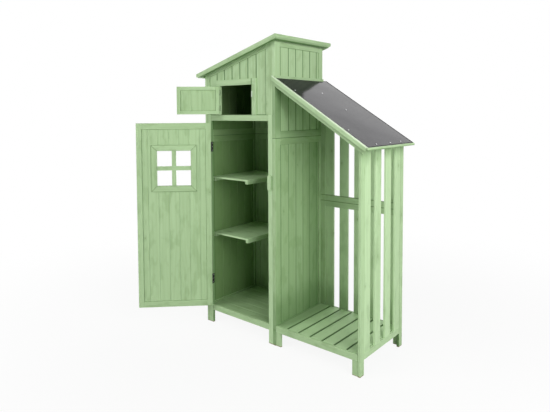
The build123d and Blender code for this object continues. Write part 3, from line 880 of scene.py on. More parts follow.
def stiles(across: Way, low: Pair, high: Pair) -> tuple[Boards, Boards]:
    """The two standing sticks of a frame.

    Args:
        across: Direction from the first to the second.
        low: Edges of the first.
        high: Edges of the second.

    Returns:
        The two sticks.
    """
    first = stick(Z, across, low[0], low[1] - low[0])
    second = stick(Z, across, high[0], high[1] - high[0], Band(across, high[0], high[1] + PAST))
    return first, second


def rail(grain: Way, inner: Pair, low: float, height: float) -> Boards:
    """A level stick between two stiles.

    Args:
        grain: Its direction.
        inner: Where it starts and stops.
        low: Height of its underside.
        height: Its own height.

    Returns:
        The stick.
    """
    level = Band(Z, low - CLEAR, low + height + CLEAR)
    return stick(grain, Z, low, height, Band(grain, *inner), level)


def slope(grain: Way, out: Way, top: float, height: float, inner: Pair) -> Boards:
    """A stick between two stiles that lies along a roof.

    Args:
        grain: Its direction.
        out: Direction out of the roof.
        top: Where its top is in that direction.
        height: Its own height.
        inner: Where it starts and stops in X.

    Returns:
        The stick.
    """
    low = top - height
    return stick(grain, out, low, height, Band(X, *inner), Band(out, low - CLEAR, top + CLEAR))


@dataclass
class Cupboard(Painted):
    """The tall cupboard: walls, front, gable, floor and shelves."""

    first_seed = 8
    left: float = -0.010
    right: float = 0.564
    wall_t: float = 0.020
    inner_skin: float = 0.0006
    front: float = -0.024
    back: float = 0.451
    front_stile: float = 0.048
    back_stile: float = 0.037
    rail_h: float = 0.038
    leg: float = 0.080
    joint: float = 1.200
    shade_rise: float = 0.16
    left_top: float = 1.594
    right_top: float = 1.757
    first_plank: float = 0.082
    plank: float = 0.071
    side_planks: int = 5
    back_planks: int = 7
    stop_bead: Pair = (0.0075, 0.0045)
    # Strength of the painted shade on the inner sides of the side walls, their frames and the back wall
    thin_sides: Pair = (0.78, 0.45)
    thin_frames: Pair = (0.80, 0.75)
    thin_back: float = 0.1
    post: float = 0.033
    sill_h: float = 0.035
    gable_rail: float = 0.027
    gable_plank: float = 0.065
    gable_whole: int = 6
    gable_stiles: Pair = (0.020, 0.046)
    gable_lines: Pair = (0.001, 0.006)
    front_rail: float = 0.036
    lintel: float = 1.298
    hatch_top: float = 1.512
    trim: float = 0.035
    trim_sides: Pair = (0.090, 0.389)
    trim_split: Pair = (0.300, 0.500)
    trim_over: float = 1.600
    floor_front: float = -0.007
    floor_board: float = 0.073
    floor_boards: int = 6
    bearer_split: Pair = (0.300, 0.600)
    shelf: Pair = (0.010, 0.313)
    shelf_front: float = 0.018
    shelf_board: float = 0.0826
    shelf_boards: int = 5
    batten: float = 0.020
    batten_split: Pair = (0.200, 0.400)
    button: Pair = (0.5135, 0.028)

    def __post_init__(self) -> None:
        """Works out what lies between the side walls, and where the roof starts."""
        self.span = (self.left + self.wall_t, self.right - self.wall_t)
        self.roof = OUT_TALL.reach((self.right, 0.0, self.right_top))
        self.seam = Mark(Z, self.joint, 0.85)

    def plank_ends(self, top: float) -> list[Mark]:
        """Dark lines where the planks of a wall's lower and upper panel start and stop."""
        h = self.rail_h
        return [Mark(Z, z) for z in (self.leg + h, self.joint - h, self.joint + h, top - h)]

    def side_wall(self, top: float, thin: float, skin: Band, outer: Band) -> tuple[Coat, ...]:
        """Paint of a side wall.

        Args:
            top: Height of the wall.
            thin: How strong the painted shade inside is.
            skin: The wall but for its inner face.
            outer: The outer half of the wall.

        Returns:
            Its lower frame, upper frame, lower planks and upper planks.
        """
        low = (self.front, self.front + self.front_stile)
        high = (self.back - self.back_stile, self.back)
        inner = (low[1], high[0])
        pair = stiles(Y, low, high)
        feet = (self.leg, self.joint - self.rail_h, self.joint, top - self.rail_h)
        rails = [rail(Y, inner, foot, self.rail_h) for foot in feet]
        second = inner[0] + self.first_plank
        boards = (
            run(Z, Y, second, self.plank, self.side_planks),
            stick(Z, Y, inner[0], self.first_plank, Band(Y, inner[0] - CLEAR, second)),
        )
        bead, half = self.stop_bead
        stops = (Mark(Y, inner[0] + bead, 0.80, half), Mark(Y, inner[1], 0.40))
        ends = self.plank_ends(top)
        frame = {"side": skin, "marks": (self.seam,)}
        planks = {"side": outer, "thin": thin}
        return (
            coat(*pair, *rails[:2], thin=thin * self.thin_frames[0], foot=True, **frame),
            coat(*pair, *rails[2:], thin=thin * self.thin_frames[1], **frame),
            coat(*boards, edges=Edge.SOFT_JOINT, marks=(*stops, *ends[:2]), **planks),
            coat(*boards, edges=Edge.OPEN_JOINT, marks=(*stops, *ends[2:]), **planks),
        )

    def back_wall(self, skin: Band, outer: Band) -> tuple[Coat, ...]:
        """Paint of the back wall.

        Args:
            skin: The wall but for its inner face.
            outer: The outer half of the wall.

        Returns:
            The same four as for a side wall.
        """
        x0, x1 = self.span
        low = (x0, x0 + self.back_stile)
        high = (x1 - self.back_stile, x1)
        inner = (low[1], high[0])
        pair = stiles(X, low, high)
        feet = (self.leg, self.joint - self.rail_h, self.joint)
        rails = [rail(X, inner, foot, self.rail_h) for foot in feet]
        sloping = slope(UP_TALL, OUT_TALL, self.roof, self.rail_h, inner)
        boards = run(Z, X, inner[0], self.plank, self.back_planks)
        ends = self.plank_ends(self.right_top)
        head = Mark(OUT_TALL, self.roof - self.rail_h)
        frame = {"side": skin, "thin": self.thin_back, "marks": (self.seam,)}
        planks = {"edges": Edge.OPEN_JOINT, "side": outer, "thin": self.thin_back}
        return (
            coat(*pair, *rails[:2], **frame),
            coat(*pair, rails[2], sloping, **frame),
            coat(boards, marks=tuple(ends[:2]), **planks),
            coat(boards, marks=(ends[2], head), **planks),
        )

    def walls(self) -> dict[str, Coat]:
        """Paint of the walls, the right one with painted shade where it stands in the rack.

        Returns:
            The paint by the node's name.
        """
        depths = (self.wall_t - self.inner_skin, self.wall_t / 2)
        behind = [Band(Y, self.back - t, self.back + CLEAR) for t in depths]
        to_left = [Band(X, self.left - CLEAR, self.left + t) for t in depths]
        to_right = [Band(X, self.right - t, self.right + CLEAR) for t in depths]
        walls = {
            "left": self.side_wall(self.left_top, self.thin_sides[0], *to_left),
            "right": self.side_wall(self.right_top, self.thin_sides[1], *to_right),
            "back": self.back_wall(*behind),
        }
        panels = ("lower_frame", "upper_frame", "lower_planks", "upper_planks")
        made = {
            f"{wall}_wall_{panel}": paint
            for wall, paints in walls.items()
            for panel, paint in zip(panels, paints)
        }
        # Painted shade on the right wall in the rack: towards the back corner, low down and under the
        # rack's roof, with a darker tone on the lower panel
        corner = Mark(Y, self.back, 0.42, 0.20)
        low = Mark(Z, self.leg, 0.45, 0.26)
        under = Mark(Z, self.joint + self.shade_rise, 0.50, 0.20)
        for name, marks, changes in (
            ("right_wall_lower_planks", (corner, low), {"tone": 0.2}),
            ("right_wall_lower_frame", (low,), {"tone": 0.25}),
            ("right_wall_upper_frame", (under,), {}),
        ):
            made[name] = made[name].plus(*marks, **changes)
        return made

    def face(self) -> dict[str, Coat]:
        """Paint of the front and the gable.

        Returns:
            The paint by the node's name.
        """
        x0, x1 = self.span
        open0, open1 = x0 + self.post, x1 - self.post
        gable = (x0 + self.gable_stiles[0], x1 - self.gable_stiles[1])
        last = gable[0] + self.gable_whole * self.gable_plank
        sill_line = Mark(Z, self.lintel + self.front_rail, 0.7, 0.0034)
        over = Band(Z, self.hatch_top - HAIR, self.trim_over)
        return {
            "front_posts": coat(
                *stiles(X, (x0, open0), (open1, x1)),
                # The mark at open0 paints shade on the inner face of the left post
                marks=(Mark(X, x0, 0.5, 0.0022), Mark(X, x1, 0.5, 0.0022), Mark(X, open0, 0.75, 0.0015)),
                tone=0.75,
                foot=True,
            ),
            "front_sill": coat(stick(X, Z, self.leg, self.sill_h)),
            "front_lintel": coat(stick(X, Z, self.lintel, self.front_rail), marks=(sill_line,)),
            "gable_frame": coat(
                *stiles(X, (x0, gable[0]), (gable[1], x1)),
                slope(UP_TALL, OUT_TALL, self.roof, self.gable_rail, gable),
            ),
            "gable_planks": coat(
                run(Z, X, gable[0], self.gable_plank, self.gable_whole),
                stick(Z, X, last, gable[1] - last, Band(X, last, gable[1] + PAST)),
                edges=Edge.OPEN_JOINT,
                marks=(
                    Mark(OUT_TALL, self.roof - self.gable_rail),
                    Mark(X, gable[0] + self.gable_lines[0], 0.6),
                    Mark(X, gable[1] - self.gable_lines[1], 0.5, 0.004),
                    sill_line,
                ),
            ),
            "hatch_trim": coat(
                *two(Z, X, self.trim_sides, self.trim, self.trim_split),
                stick(X, Z, self.hatch_top, self.trim, over),
                marks=(Mark(X, self.trim_sides[1], 0.85, 0.005),),
            ),
        }

    def inside(self) -> dict[str, Coat]:
        """Paint of the floors and shelves, and of the door's button.

        Returns:
            The paint by the node's name.
        """
        x0, x1 = self.span
        boards = run(X, Y, self.floor_front, self.floor_board, self.floor_boards)
        floor = coat(boards, edges=Edge.FINE_JOINT)
        shelf = run(X, Y, self.shelf_front, self.shelf_board, self.shelf_boards)
        bearers = (x0, x1 - self.batten)
        battens = (self.shelf[0], self.shelf[1] - self.batten)
        return {
            # Painted light and shade: the shelves are paler, as if lit from above, and the cabinet floor
            # darker, as if in shade
            "cabinet_floor": replace(floor, tone=0.3),
            "loft_floor": floor,
            "floor_bearers": coat(*two(Y, X, bearers, self.batten, self.bearer_split)),
            "shelves": coat(shelf, tone=0.9),
            "shelf_battens": coat(*two(Y, X, battens, self.batten, self.batten_split)),
            "door_button": coat(stick(Z, X, *self.button), edges=Edge.TRIM, tone=0.8),
        }

    def coats(self) -> dict[str, Coat]:
        """The paint of each node by the node's name."""
        return {**self.walls(), **self.face(), **self.inside()}


@dataclass
class CupboardRoof(Painted):
    """The cupboard's roof: deck, fascias and edgings round the felt."""

    first_seed = 12
    eave: float = -0.050
    fascia_t: float = 0.015
    fascia_h: float = 0.029
    edging_h: float = 0.022
    deck_board: float = 0.082
    deck_boards: int = 8
    shadow_line_rise: float = 0.0010
    shade_rise: float = 0.0060
    top: Point = (0.564, 0.0, 1.7716)

    def coats(self) -> dict[str, Coat]:
        """Sets out the paint of the sub-assembly.

        Returns:
            The paint by the node's name.
        """
        face = OUT_TALL.reach(self.top)
        deck0 = self.eave + self.fascia_t
        foot = face - self.fascia_h
        edge = face - self.edging_h
        # Painted shadow: a dark line at the foot of both fascias, and painted shade over the lower part
        # of the right one
        line = Mark(OUT_TALL, foot + self.shadow_line_rise, 0.95, 0.0050)
        shade = Mark(OUT_TALL, foot + self.shade_rise, 0.25, 0.0095)
        return {
            "tall_roof_deck": coat(
                run(Y, X, deck0, self.deck_board, self.deck_boards), edges=Edge.OPEN_JOINT
            ),
            "front_fascia": coat(stick(UP_TALL, OUT_TALL, foot, self.fascia_h), marks=(line,)),
            "right_fascia": coat(stick(Y, OUT_TALL, foot, self.fascia_h), marks=(line, shade)),
            "roof_edgings": coat(
                stick(Y, OUT_TALL, edge, self.edging_h),
                stick(UP_TALL, OUT_TALL, edge, self.edging_h, Band(X, deck0 + HAIR, FAR)),
            ),
        }


@dataclass
class Leaf(Painted):
    """A framed and planked leaf that hangs open on its pin."""

    pin: Point
    near: float
    far: float
    low: float
    high: float
    stile: float
    rail_h: float

    def __post_init__(self) -> None:
        """Works out where the leaf starts and stops, and what lies between its stiles."""
        self.ends = (self.along(self.near), self.along(self.far))
        self.inner = (self.along(self.near + self.stile), self.along(self.far - self.stile))

    def along(self, u: float) -> float:
        """Place in the leaf's direction of a line u from the pin."""
        return LEAF.reach(self.pin) + u

    def panel(self, *boards: Boards, **options: Any) -> Coat:
        """Paint of the planks, with dark lines where they meet the frame.

        Args:
            *boards: The planks.
            **options: Other values of the coat.

        Returns:
            The paint.
        """
        upright = [Mark(LEAF, place) for place in self.inner]
        level = [Mark(Z, place) for place in (self.low + self.rail_h, self.high - self.rail_h)]
        return coat(*boards, edges=Edge.FINE_JOINT, marks=(*upright, *level), **options)

    def frame(self) -> Coat:
        """Paint of the leaf's frame.

        Returns:
            The paint.
        """
        return coat(
            *stiles(LEAF, (self.ends[0], self.inner[0]), (self.inner[1], self.ends[1])),
            rail(LEAF, self.inner, self.low, self.rail_h),
            rail(LEAF, self.inner, self.high - self.rail_h, self.rail_h),
        )


@dataclass
class Door(Leaf):
    """The cupboard's door with its barred window."""

    first_seed = 4
    pin: Point = (0.0447, -0.028, 0.0)
    near: float = 0.0017
    far: float = 0.4638
    low: float = 0.119
    high: float = 1.284
    stile: float = 0.033
    rail_h: float = 0.037
    plank: float = 0.064
    planks: int = 7
    window: Pair = (0.210, 0.220)
    window_z: float = 1.001
    trim: float = 0.036
    bar: float = 0.026

    def coats(self) -> dict[str, Coat]:
        """Sets out the paint of the sub-assembly.

        Returns:
            The paint by the node's name.
        """
        middle = self.along((self.near + self.far) / 2)
        half_w, half_h = (size / 2 for size in self.window)
        u0, u1 = middle - half_w, middle + half_w
        z0, z1 = self.window_z - half_h, self.window_z + half_h
        boards = run(Z, LEAF, middle - self.planks / 2 * self.plank, self.plank, self.planks)
        level = Mitre(LEAF, (middle, self.window_z), (half_w, half_h))
        trim = coat(
            stick(Z, LEAF, u0 - self.trim, self.trim),
            stick(Z, LEAF, u1, self.trim, Band(LEAF, middle, FAR)),
            stick(LEAF, Z, z0 - self.trim, self.trim, level),
            stick(LEAF, Z, z1, self.trim, level, Band(Z, self.window_z, FAR)),
            edges=Edge.TRIM,
        )
        return {
            "door_frame": self.frame(),
            "door_planks": self.panel(boards),
            "window_trim_outer": trim,
            "window_trim_inner": trim,
            "window_bars": coat(
                stick(Z, LEAF, middle - self.bar / 2, self.bar),
                rail(LEAF, (u0 - CLEAR, u1 + CLEAR), self.window_z - self.bar / 2, self.bar),
            ),
        }


@dataclass
class Hatch(Leaf):
    """The loft hatch."""

    first_seed = 5
    pin: Point = (0.1267, -0.032, 0.0)
    near: float = 0.0017
    far: float = 0.2593
    low: float = 1.338
    high: float = 1.507
    stile: float = 0.021
    rail_h: float = 0.021
    plank: float = 0.066

    def coats(self) -> dict[str, Coat]:
        """Sets out the paint of the sub-assembly.

        Returns:
            The paint by the node's name.
        """
        start = self.inner[0]
        second = self.inner[1] - 2 * self.plank
        planks = self.panel(
            run(Z, LEAF, second, self.plank, 2),
            stick(Z, LEAF, start, second - start, Band(LEAF, start - CLEAR, second)),
            tone=0.3,
        )
        return {"hatch_frame": self.frame(), "hatch_planks": planks}


@dataclass
class Rack(Painted):
    """The lean-to rack: base, slatted fences and roof timbers."""

    first_seed = 4
    left: float = 0.564
    fence: float = 1.101
    front: float = -0.024
    back: float = 0.451
    leg: float = 0.080
    rail_h: float = 0.035
    short_leg: float = 0.034
    bearer: float = 0.020
    bearers: Pair = (-0.007, 0.413)
    bearer_split: Pair = (0.300, 0.500)
    floor_board: float = 0.069857
    floor_boards: int = 7
    floor_gap: float = 0.008
    post: float = 0.038
    fence_rail: float = 0.036
    fence_top_rail: float = 1.149
    top_split: Pair = (1.0, 1.3)
    slat: float = 0.060
    end_slats: int = 4
    back_slats: int = 5
    fence_left: float = 0.033
    fence_right: float = 0.032
    joint: float = 0.789
    rafter_h: float = 0.035
    deck_board: float = 0.074
    deck_boards: int = 8
    barge_h: float = 0.041
    barge_face: float = 0.024
    eave_h: float = 0.009
    wall_strip: Pair = (1.540, 0.015)
    top: Point = (0.564, 0.0, 1.545)
    cover: float = 0.009

    def base(self) -> dict[str, Coat]:
        """Paint of the floor and what carries it.

        Returns:
            The paint by the node's name.
        """
        legs = (self.left, self.left + self.short_leg), (self.fence - self.short_leg, self.fence)
        seams = (Mark(X, self.left, 0.5), Mark(X, self.fence, 0.6), Mark(Z, self.leg, 0.3))
        pitch = self.floor_board + self.floor_gap
        return {
            "rack_front_rail": coat(
                stick(X, Z, self.leg, self.rail_h), marks=(Mark(X, self.fence, 0.6, 0.0034),)
            ),
            "rack_legs": coat(*stiles(X, *legs), marks=seams, foot=True),
            "rack_bearers": coat(*two(X, Y, self.bearers, self.bearer, self.bearer_split)),
            "rack_floor_boards": coat(
                run(Y, X, self.left, self.floor_board, self.floor_boards, pitch),
                edges=Edge.GAP,
                # Painted shade on the floor along the wall
                marks=(Mark(X, self.left, 0.40, 0.10),),
                tone=1.0,
            ),
        }

    def end_fence(self) -> dict[str, Coat]:
        """Paint of the fence at the right, shaded under the eave.

        Returns:
            The paint by the node's name.
        """
        y0, y1 = self.front + self.post, self.back - self.post
        pitch = (y1 - y0 - self.slat) / (self.end_slats - 1)
        shade = Mark(Z, self.fence_top_rail + self.fence_rail, 0.35, 0.11)
        return {
            "end_fence_posts": coat(
                *stiles(Y, (self.front, y0), (y1, self.back)),
                # The mark at y1 paints shade on the back post's side towards the slats
                marks=(Mark(Y, y1, 0.9, 0.0016), shade),
                foot=True,
            ),
            "end_fence_rails": coat(
                stick(Y, Z, self.leg, self.rail_h),
                stick(Y, Z, self.fence_top_rail, self.fence_rail, Band(Z, *self.top_split)),
                marks=(shade,),
            ),
            "end_fence_slats": coat(
                run(Z, Y, y0, self.slat, self.end_slats, pitch), marks=(shade,), tone=0.80
            ),
        }

    def back_fence(self, under: float) -> dict[str, Coat]:
        """Paint of the fence at the back, shaded at its foot.

        Args:
            under: Where the underside of the roof is in the direction out of it.

        Returns:
            The paint by the node's name.
        """
        inner = (self.left + self.fence_left, self.fence - self.fence_right)
        pair = stiles(X, (self.left, inner[0]), (inner[1], self.fence))
        pitch = (inner[1] - inner[0] - self.slat) / (self.back_slats - 1)
        slats = coat(run(Z, X, inner[0], self.slat, self.back_slats, pitch), tone=1.0)
        seam = Mark(Z, self.joint, 0.80, 0.0030)
        # Painted shade towards the foot of the fence
        low = Mark(Z, self.leg, 0.40, 0.22)
        start = Mark(Z, self.joint + self.fence_rail)
        return {
            "back_fence_lower_frame": coat(
                *pair,
                rail(X, inner, self.leg, self.rail_h),
                rail(X, inner, self.joint - self.fence_rail, self.fence_rail),
                marks=(seam, low),
                foot=True,
            ),
            "back_fence_upper_frame": coat(
                *pair,
                rail(X, inner, self.joint, self.fence_rail),
                slope(DOWN_RACK, OUT_RACK, under, self.rafter_h, inner),
                marks=(seam, start),
            ),
            "back_fence_lower_slats": slats.plus(low),
            "back_fence_upper_slats": slats.plus(start),
        }

    def roof(self, face: float, under: float) -> dict[str, Coat]:
        """Paint of the roof's timbers.

        Args:
            face: Where the roof's top face is in the direction out of it.
            under: Where its underside is.

        Returns:
            The paint by the node's name.
        """
        foot = (self.barge_h - self.barge_face) / 2
        bevel = face - self.barge_face
        eave = face - self.eave_h
        return {
            "rack_rafter": coat(stick(DOWN_RACK, OUT_RACK, under - self.rafter_h, self.rafter_h)),
            "rack_roof_deck": coat(
                run(Y, X, self.left, self.deck_board, self.deck_boards), edges=Edge.OPEN_JOINT
            ),
            "barge_board": coat(
                stick(DOWN_RACK, OUT_RACK, face - self.barge_h, self.barge_h),
                # Painted shade: a dark line under the step and a darker band below it; the glint is a
                # painted highlight along the top edge
                marks=(Mark(OUT_RACK, bevel, 0.45), Mark(OUT_RACK, bevel - foot, 0.22, foot * 1.6)),
                glints=(Mark(OUT_RACK, face, 0.8, 0.0050),),
            ),
            "eave_strip": coat(
                stick(Y, OUT_RACK, eave, self.eave_h), marks=(Mark(OUT_RACK, eave, 0.5, 0.0055),)
            ),
            "wall_strip": coat(stick(Y, Z, *self.wall_strip)),
        }

    def coats(self) -> dict[str, Coat]:
        """Sets out the paint of the sub-assembly.

        Returns:
            The paint by the node's name.
        """
        face = OUT_RACK.reach(self.top)
        under = face - self.cover
        return {**self.base(), **self.end_fence(), **self.back_fence(under), **self.roof(face, under)}


@dataclass(frozen=True)
class Hinges:
    """The two hinges of a leaf, and the screws in them by their heights and inset from the pin."""

    leaf: str
    pin: Pair
    middles: Pair
    offsets: tuple[float, ...]
    radius: float
    inset: float

    def places(self, out: Vector, behind: Vector, rise: float) -> list[Matrix]:
        """Places of the screw heads on the plates at one side of the pin.

        Args:
            out: Direction that the plates' open faces look in.
            behind: Direction along the plates from the pin.
            rise: How far the heads' undersides lie out from the pin.

        Returns:
            The places.
        """
        turn = out.to_track_quat("Z", "Y").to_matrix().to_4x4()
        return [
            Matrix.Translation(Vector((*self.pin, z + dz)) + behind * self.inset + out * rise) @ turn
            for z in self.middles
            for dz in self.offsets
        ]


@dataclass
class Ironmongery:
    """Hinges, buttons' screws, felt, and the nails and screws that are added here."""

    nail_r: float = 0.0038
    nail_h: float = 0.0016
    nail_rim: float = 0.4
    screw_h: float = 0.0004
    screw_dish: float = 0.8
    screw_proud: float = 0.00015
    leaf_inner: float = 0.0003
    head_sides: int = 16
    head_step: float = 0.30
    crown_shares: Pair = (0.6, 0.4)
    smooth_angle: float = 50.0
    rack_top: Point = (0.564, 0.0, 1.545)
    rack_nails: tuple[Pair, ...] = (
        (0.687, 0.002),
        (0.703, 0.244),
        (0.859, 0.252),
        (1.024, 0.006),
        (1.137, 0.089),
        (1.136, 0.244),
        (1.136, 0.367),
    )
    # Dull dark bands at the felts' edges: partly the felt's own edge, partly painted shadow beside the
    # boards round it
    rack_hems_and_shadow: tuple[Mark, ...] = (
        Mark(Y, -0.024, 0.70, 0.006),
        Mark(Y, 0.497, 1.0, 0.018),
        Mark(X, 1.153, 0.80, 0.006),
    )
    tall_top: Point = (0.564, 0.0, 1.7716)
    tall_nails: tuple[Pair, ...] = tuple(
        (x, y) for x in (-0.015, 0.274, 0.563) for y in (-0.030, 0.215, 0.460)
    )
    tall_hems_and_shadow: tuple[Mark, ...] = tuple(
        Mark(way, place, 0.70, 0.006)
        for way, place in ((Y, -0.049), (Y, 0.478), (X, -0.035), (X, 0.583))
    )
    door: Hinges = Hinges(
        "door", (0.0447, -0.028), (0.286, 1.133), (-0.022, 0.0, 0.022), 0.0027, 0.0106
    )
    hatch: Hinges = Hinges("hatch", (0.1267, -0.032), (1.374, 1.471), (-0.010, 0.010), 0.0020, 0.0080)

    def head(self, name: str, radius: float, height: float, crown: float) -> bpy.types.Object:
        """Models one nail or screw head, with its underside at the origin and facing up.

        Args:
            name: Its name.
            radius: Its radius.
            height: Height of its rim.
            crown: How far its middle stands above the rim, or below it where negative.

        Returns:
            The head.
        """
        bpy.ops.object.select_all(action="DESELECT")
        bpy.ops.mesh.primitive_cylinder_add(
            vertices=self.head_sides, radius=radius, depth=height, location=(0.0, 0.0, height / 2)
        )
        bpy.ops.object.transform_apply(location=True, rotation=True, scale=True)
        made = bpy.context.object
        made.name = name
        for face in made.data.polygons:
            face.select = face.normal.z > 0.9
        bpy.ops.object.mode_set(mode="EDIT")
        bpy.ops.mesh.select_mode(type="FACE")
        for share in self.crown_shares:
            bpy.ops.mesh.inset(thickness=radius * self.head_step)
            bpy.ops.transform.translate(value=(0.0, 0.0, crown * share))
        bpy.ops.object.mode_set(mode="OBJECT")
        bpy.ops.object.shade_smooth_by_angle(angle=radians(self.smooth_angle))
        return made

    def set_out(
        self, head: bpy.types.Object, places: Sequence[Matrix], body: str, finish: bpy.types.Material
    ) -> None:
        """Copies a head to its places, joins the copies and hangs them on a body.

        Args:
            head: The head, which is used up.
            places: Where each copy goes.
            body: The body that they ride on.
            finish: Their material.
        """
        name = head.name
        bpy.ops.object.select_all(action="DESELECT")
        for place in places:
            one = head.copy()
            one.data = head.data.copy()
            one.data.transform(place)
            bpy.context.scene.collection.objects.link(one)
            one.select_set(True)
            bpy.context.view_layer.objects.active = one
        bpy.data.objects.remove(head)
        bpy.ops.object.join()
        joined = bpy.context.object
        joined.name = name
        put_on(joined, finish)
        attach(joined, body)
        log.info("built %s", name)

    def on_roof(self, way: Way, top: Point, spots: Sequence[Pair]) -> list[Matrix]:
        """Places of nail heads on a roof.

        Args:
            way: The direction out of the roof.
            top: A point of its top face.
            spots: The nails' x and y.

        Returns:
            The places.
        """
        out = Vector(way.value)
        turn = out.to_track_quat("Z", "Y").to_matrix().to_4x4()
        return [
            Matrix.Translation((x, y, top[2] - (x - top[0]) * out.x / out.z)) @ turn for x, y in spots
        ]

    def dress(self, nodes: Nodes) -> None:
        """Gives the nodes that aren't painted timber their finishes.

        Args:
            nodes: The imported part's nodes by name.
        """
        lacquer = BlackSteel().material("black_steel")
        brushed = BlackSteel(cover=0.7).material("brushed_steel")
        wanted = {
            "rack_roof_felt": RoofFelt(self.rack_hems_and_shadow).material("rack_felt"),
            "tall_roof_felt": RoofFelt(self.tall_hems_and_shadow).material("tall_felt"),
            "door_hinge_fixed_leaves": lacquer,
            "door_hinge_leaves": lacquer,
            "hatch_hinge_fixed_leaves": brushed,
            "hatch_hinge_leaves": brushed,
            "hinge_pins": lacquer,
            "button_screws": Zinc(cover=0.8).material("zinc_screws"),
            "hatch_button": PalePlastic().material("pale_plastic"),
        }
        for name, material in wanted.items():
            put_on(nodes[name], material)
            log.info("dressed %s", name)

    def build(self) -> None:
        """Builds the nails of both felts and the screws of all hinges."""
        plating = Zinc().material("zinc_nails")
        for name, way, top, spots in (
            ("rack_felt_nails", OUT_RACK, self.rack_top, self.rack_nails),
            ("tall_felt_nails", OUT_TALL, self.tall_top, self.tall_nails),
        ):
            rim = self.nail_h * self.nail_rim
            head = self.head(name, self.nail_r, rim, self.nail_h - rim)
            self.set_out(head, self.on_roof(way, top, spots), "shed", plating)
        shut = (Vector((1.0, 0.0, 0.0)), Vector((0.0, 1.0, 0.0)))
        swung = (Vector((HALF_RIGHT, HALF_RIGHT, 0.0)), Vector((HALF_RIGHT, -HALF_RIGHT, 0.0)))
        rise = -self.leaf_inner - self.screw_h + self.screw_proud
        for hinges in (self.door, self.hatch):
            for name, body, ways in (
                (f"{hinges.leaf}_hinge_fixed_screws", "shed", shut),
                (f"{hinges.leaf}_hinge_screws", hinges.leaf, swung),
            ):
                head = self.head(name, hinges.radius, self.screw_h, -self.screw_h * self.screw_dish)
                self.set_out(head, hinges.places(*ways, rise), body, plating)


@dataclass(frozen=True)
class Lamp:
    """A square soft box: where it hangs, its size, and its light.

    Its share is how bright a white surface that faces it gets at the shed, where 1 is white.
    """

    name: str
    place: Point
    size: float
    share: float


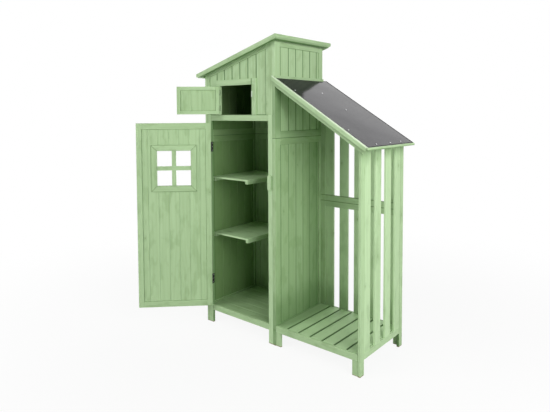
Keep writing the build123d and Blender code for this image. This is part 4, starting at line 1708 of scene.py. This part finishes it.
@dataclass
class Studio:
    """Floor, lamps, world and camera."""

    eye: Point = (2.361, -2.210, 1.345)
    yaw: float = 40.55
    pitch: float = 3.10
    roll: float = -0.30
    focal_px: float = 501.3
    centre_px: Pair = (265.2, 140.0)
    image_px: Pair = (550.0, 412.0)
    sensor: float = 36.0
    sight: float = 200.0
    ambient: float = 0.03
    white: Colour = (1.0, 1.0, 1.0)
    floor_grey: Colour = (0.80, 0.80, 0.80)
    floor_half: float = 30.0
    floor_z: float = -0.0005
    floor_fade: Pair = (0.6, 3.2)
    floor_white: float = 0.90
    watts: float = 9.87
    middle: Point = (0.55, 0.20, 0.85)
    lamps: tuple[Lamp, ...] = (
        Lamp("right_lamp", (3.50, -0.90, 1.90), 2.5, 0.94),
        Lamp("front_lamp", (-1.60, -3.40, 2.20), 2.4, 0.45),
        Lamp("top_lamp", (0.90, -2.40, 4.60), 2.0, 0.08),
        Lamp("back_lamp", (-0.10, 3.60, 3.30), 3.0, 0.28),
        Lamp("left_lamp", (-2.60, 2.80, 1.00), 2.0, 0.34),
    )

    def camera(self) -> None:
        """Sets the camera where the photograph was taken from."""
        yaw, pitch, roll = radians(self.yaw), radians(self.pitch), radians(self.roll)
        ahead = Vector((-sin(yaw) * cos(pitch), cos(yaw) * cos(pitch), -sin(pitch)))
        level = Vector((cos(yaw), sin(yaw), 0.0))
        upright = level.cross(ahead)
        right = level * cos(roll) + upright * sin(roll)
        up = upright * cos(roll) - level * sin(roll)
        bpy.ops.object.camera_add()
        seen = bpy.context.object
        turn = Matrix((right, up, -ahead)).transposed()
        seen.matrix_world = Matrix.Translation(self.eye) @ turn.to_4x4()
        width, height = self.image_px
        seen.data.sensor_width = self.sensor
        seen.data.lens = self.focal_px * self.sensor / width
        seen.data.shift_x = (width / 2 - self.centre_px[0]) / width
        seen.data.shift_y = (self.centre_px[1] - height / 2) / width
        seen.data.clip_end = self.sight
        bpy.context.scene.camera = seen

    def light(self, lamp: Lamp) -> None:
        """Hangs a lamp so that it looks at the shed.

        Args:
            lamp: The lamp.
        """
        way = Vector(self.middle) - Vector(lamp.place)
        bpy.ops.object.light_add(type="AREA", location=lamp.place)
        made = bpy.context.object
        made.name = lamp.name
        made.rotation_euler = way.to_track_quat("-Z", "Y").to_euler()
        made.data.size = lamp.size
        made.data.energy = self.watts * lamp.share * way.length_squared

    def shown(self, g: Graph) -> Sock:
        """Mask of what the camera sees, straight or in a reflection or through glass.

        Args:
            g: The graph of a material or of the world.

        Returns:
            1 for such rays, 0 for others.
        """
        rays = [f"Is {kind} Ray" for kind in ("Camera", "Glossy", "Transmission")]
        straight, gloss, through = g.outs("ShaderNodeLightPath", rays)
        return g.maths("MAXIMUM", g.maths("MAXIMUM", straight, gloss), through)

    def world(self) -> None:
        """Sets an even pale light with a white background."""
        made = bpy.data.worlds.new("studio")
        made.use_nodes = True
        bpy.context.scene.world = made
        g = Graph(made.node_tree)
        strength = self.shown(g) * (1.0 - self.ambient) + self.ambient
        sockets = {"Color": self.white, "Strength": strength}
        light = g.out("ShaderNodeBackground", "Background", None, sockets)
        g.node("ShaderNodeOutputWorld", None, {"Surface": light})

    def floor(self) -> None:
        """Lays a pale floor that keeps the shed's shadow and is white further out."""
        bpy.ops.object.select_all(action="DESELECT")
        bpy.ops.mesh.primitive_plane_add(
            size=2 * self.floor_half, location=(self.middle[0], self.middle[1], self.floor_z)
        )
        made = bpy.context.object
        made.name = "studio_floor"
        material, g = new_material("studio_floor")
        away = g.length(g.vector("MULTIPLY", g.place(), (1.0, 1.0, 0.0)))
        share = away.ease(*self.floor_fade) * (1.0 - self.floor_white) + self.floor_white
        matte = g.out("ShaderNodeBsdfDiffuse", "BSDF", None, {"Color": self.floor_grey})
        sockets = {"Color": self.white, "Strength": 1.0}
        white = g.out("ShaderNodeEmission", "Emission", None, sockets)
        g.surface(g.mix(self.shown(g) * share, matte, white))
        put_on(made, material)

    def build(self) -> None:
        """Builds the studio."""
        self.camera()
        self.world()
        self.floor()
        for lamp in self.lamps:
            self.light(lamp)
        bpy.context.scene.view_settings.view_transform = "Standard"
        log.info("built the studio")


def main() -> None:
    """Builds and dresses the shed in its studio."""
    logging.basicConfig(level=logging.INFO, format="%(name)s: %(message)s")
    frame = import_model()
    nodes = frame["nodes"]
    for part in (Cupboard(), CupboardRoof(), Door(), Hatch(), Rack()):
        part.dress(nodes)
    hardware = Ironmongery()
    hardware.dress(nodes)
    hardware.build()
    Studio().build()


if __name__ == "__main__":
    main()
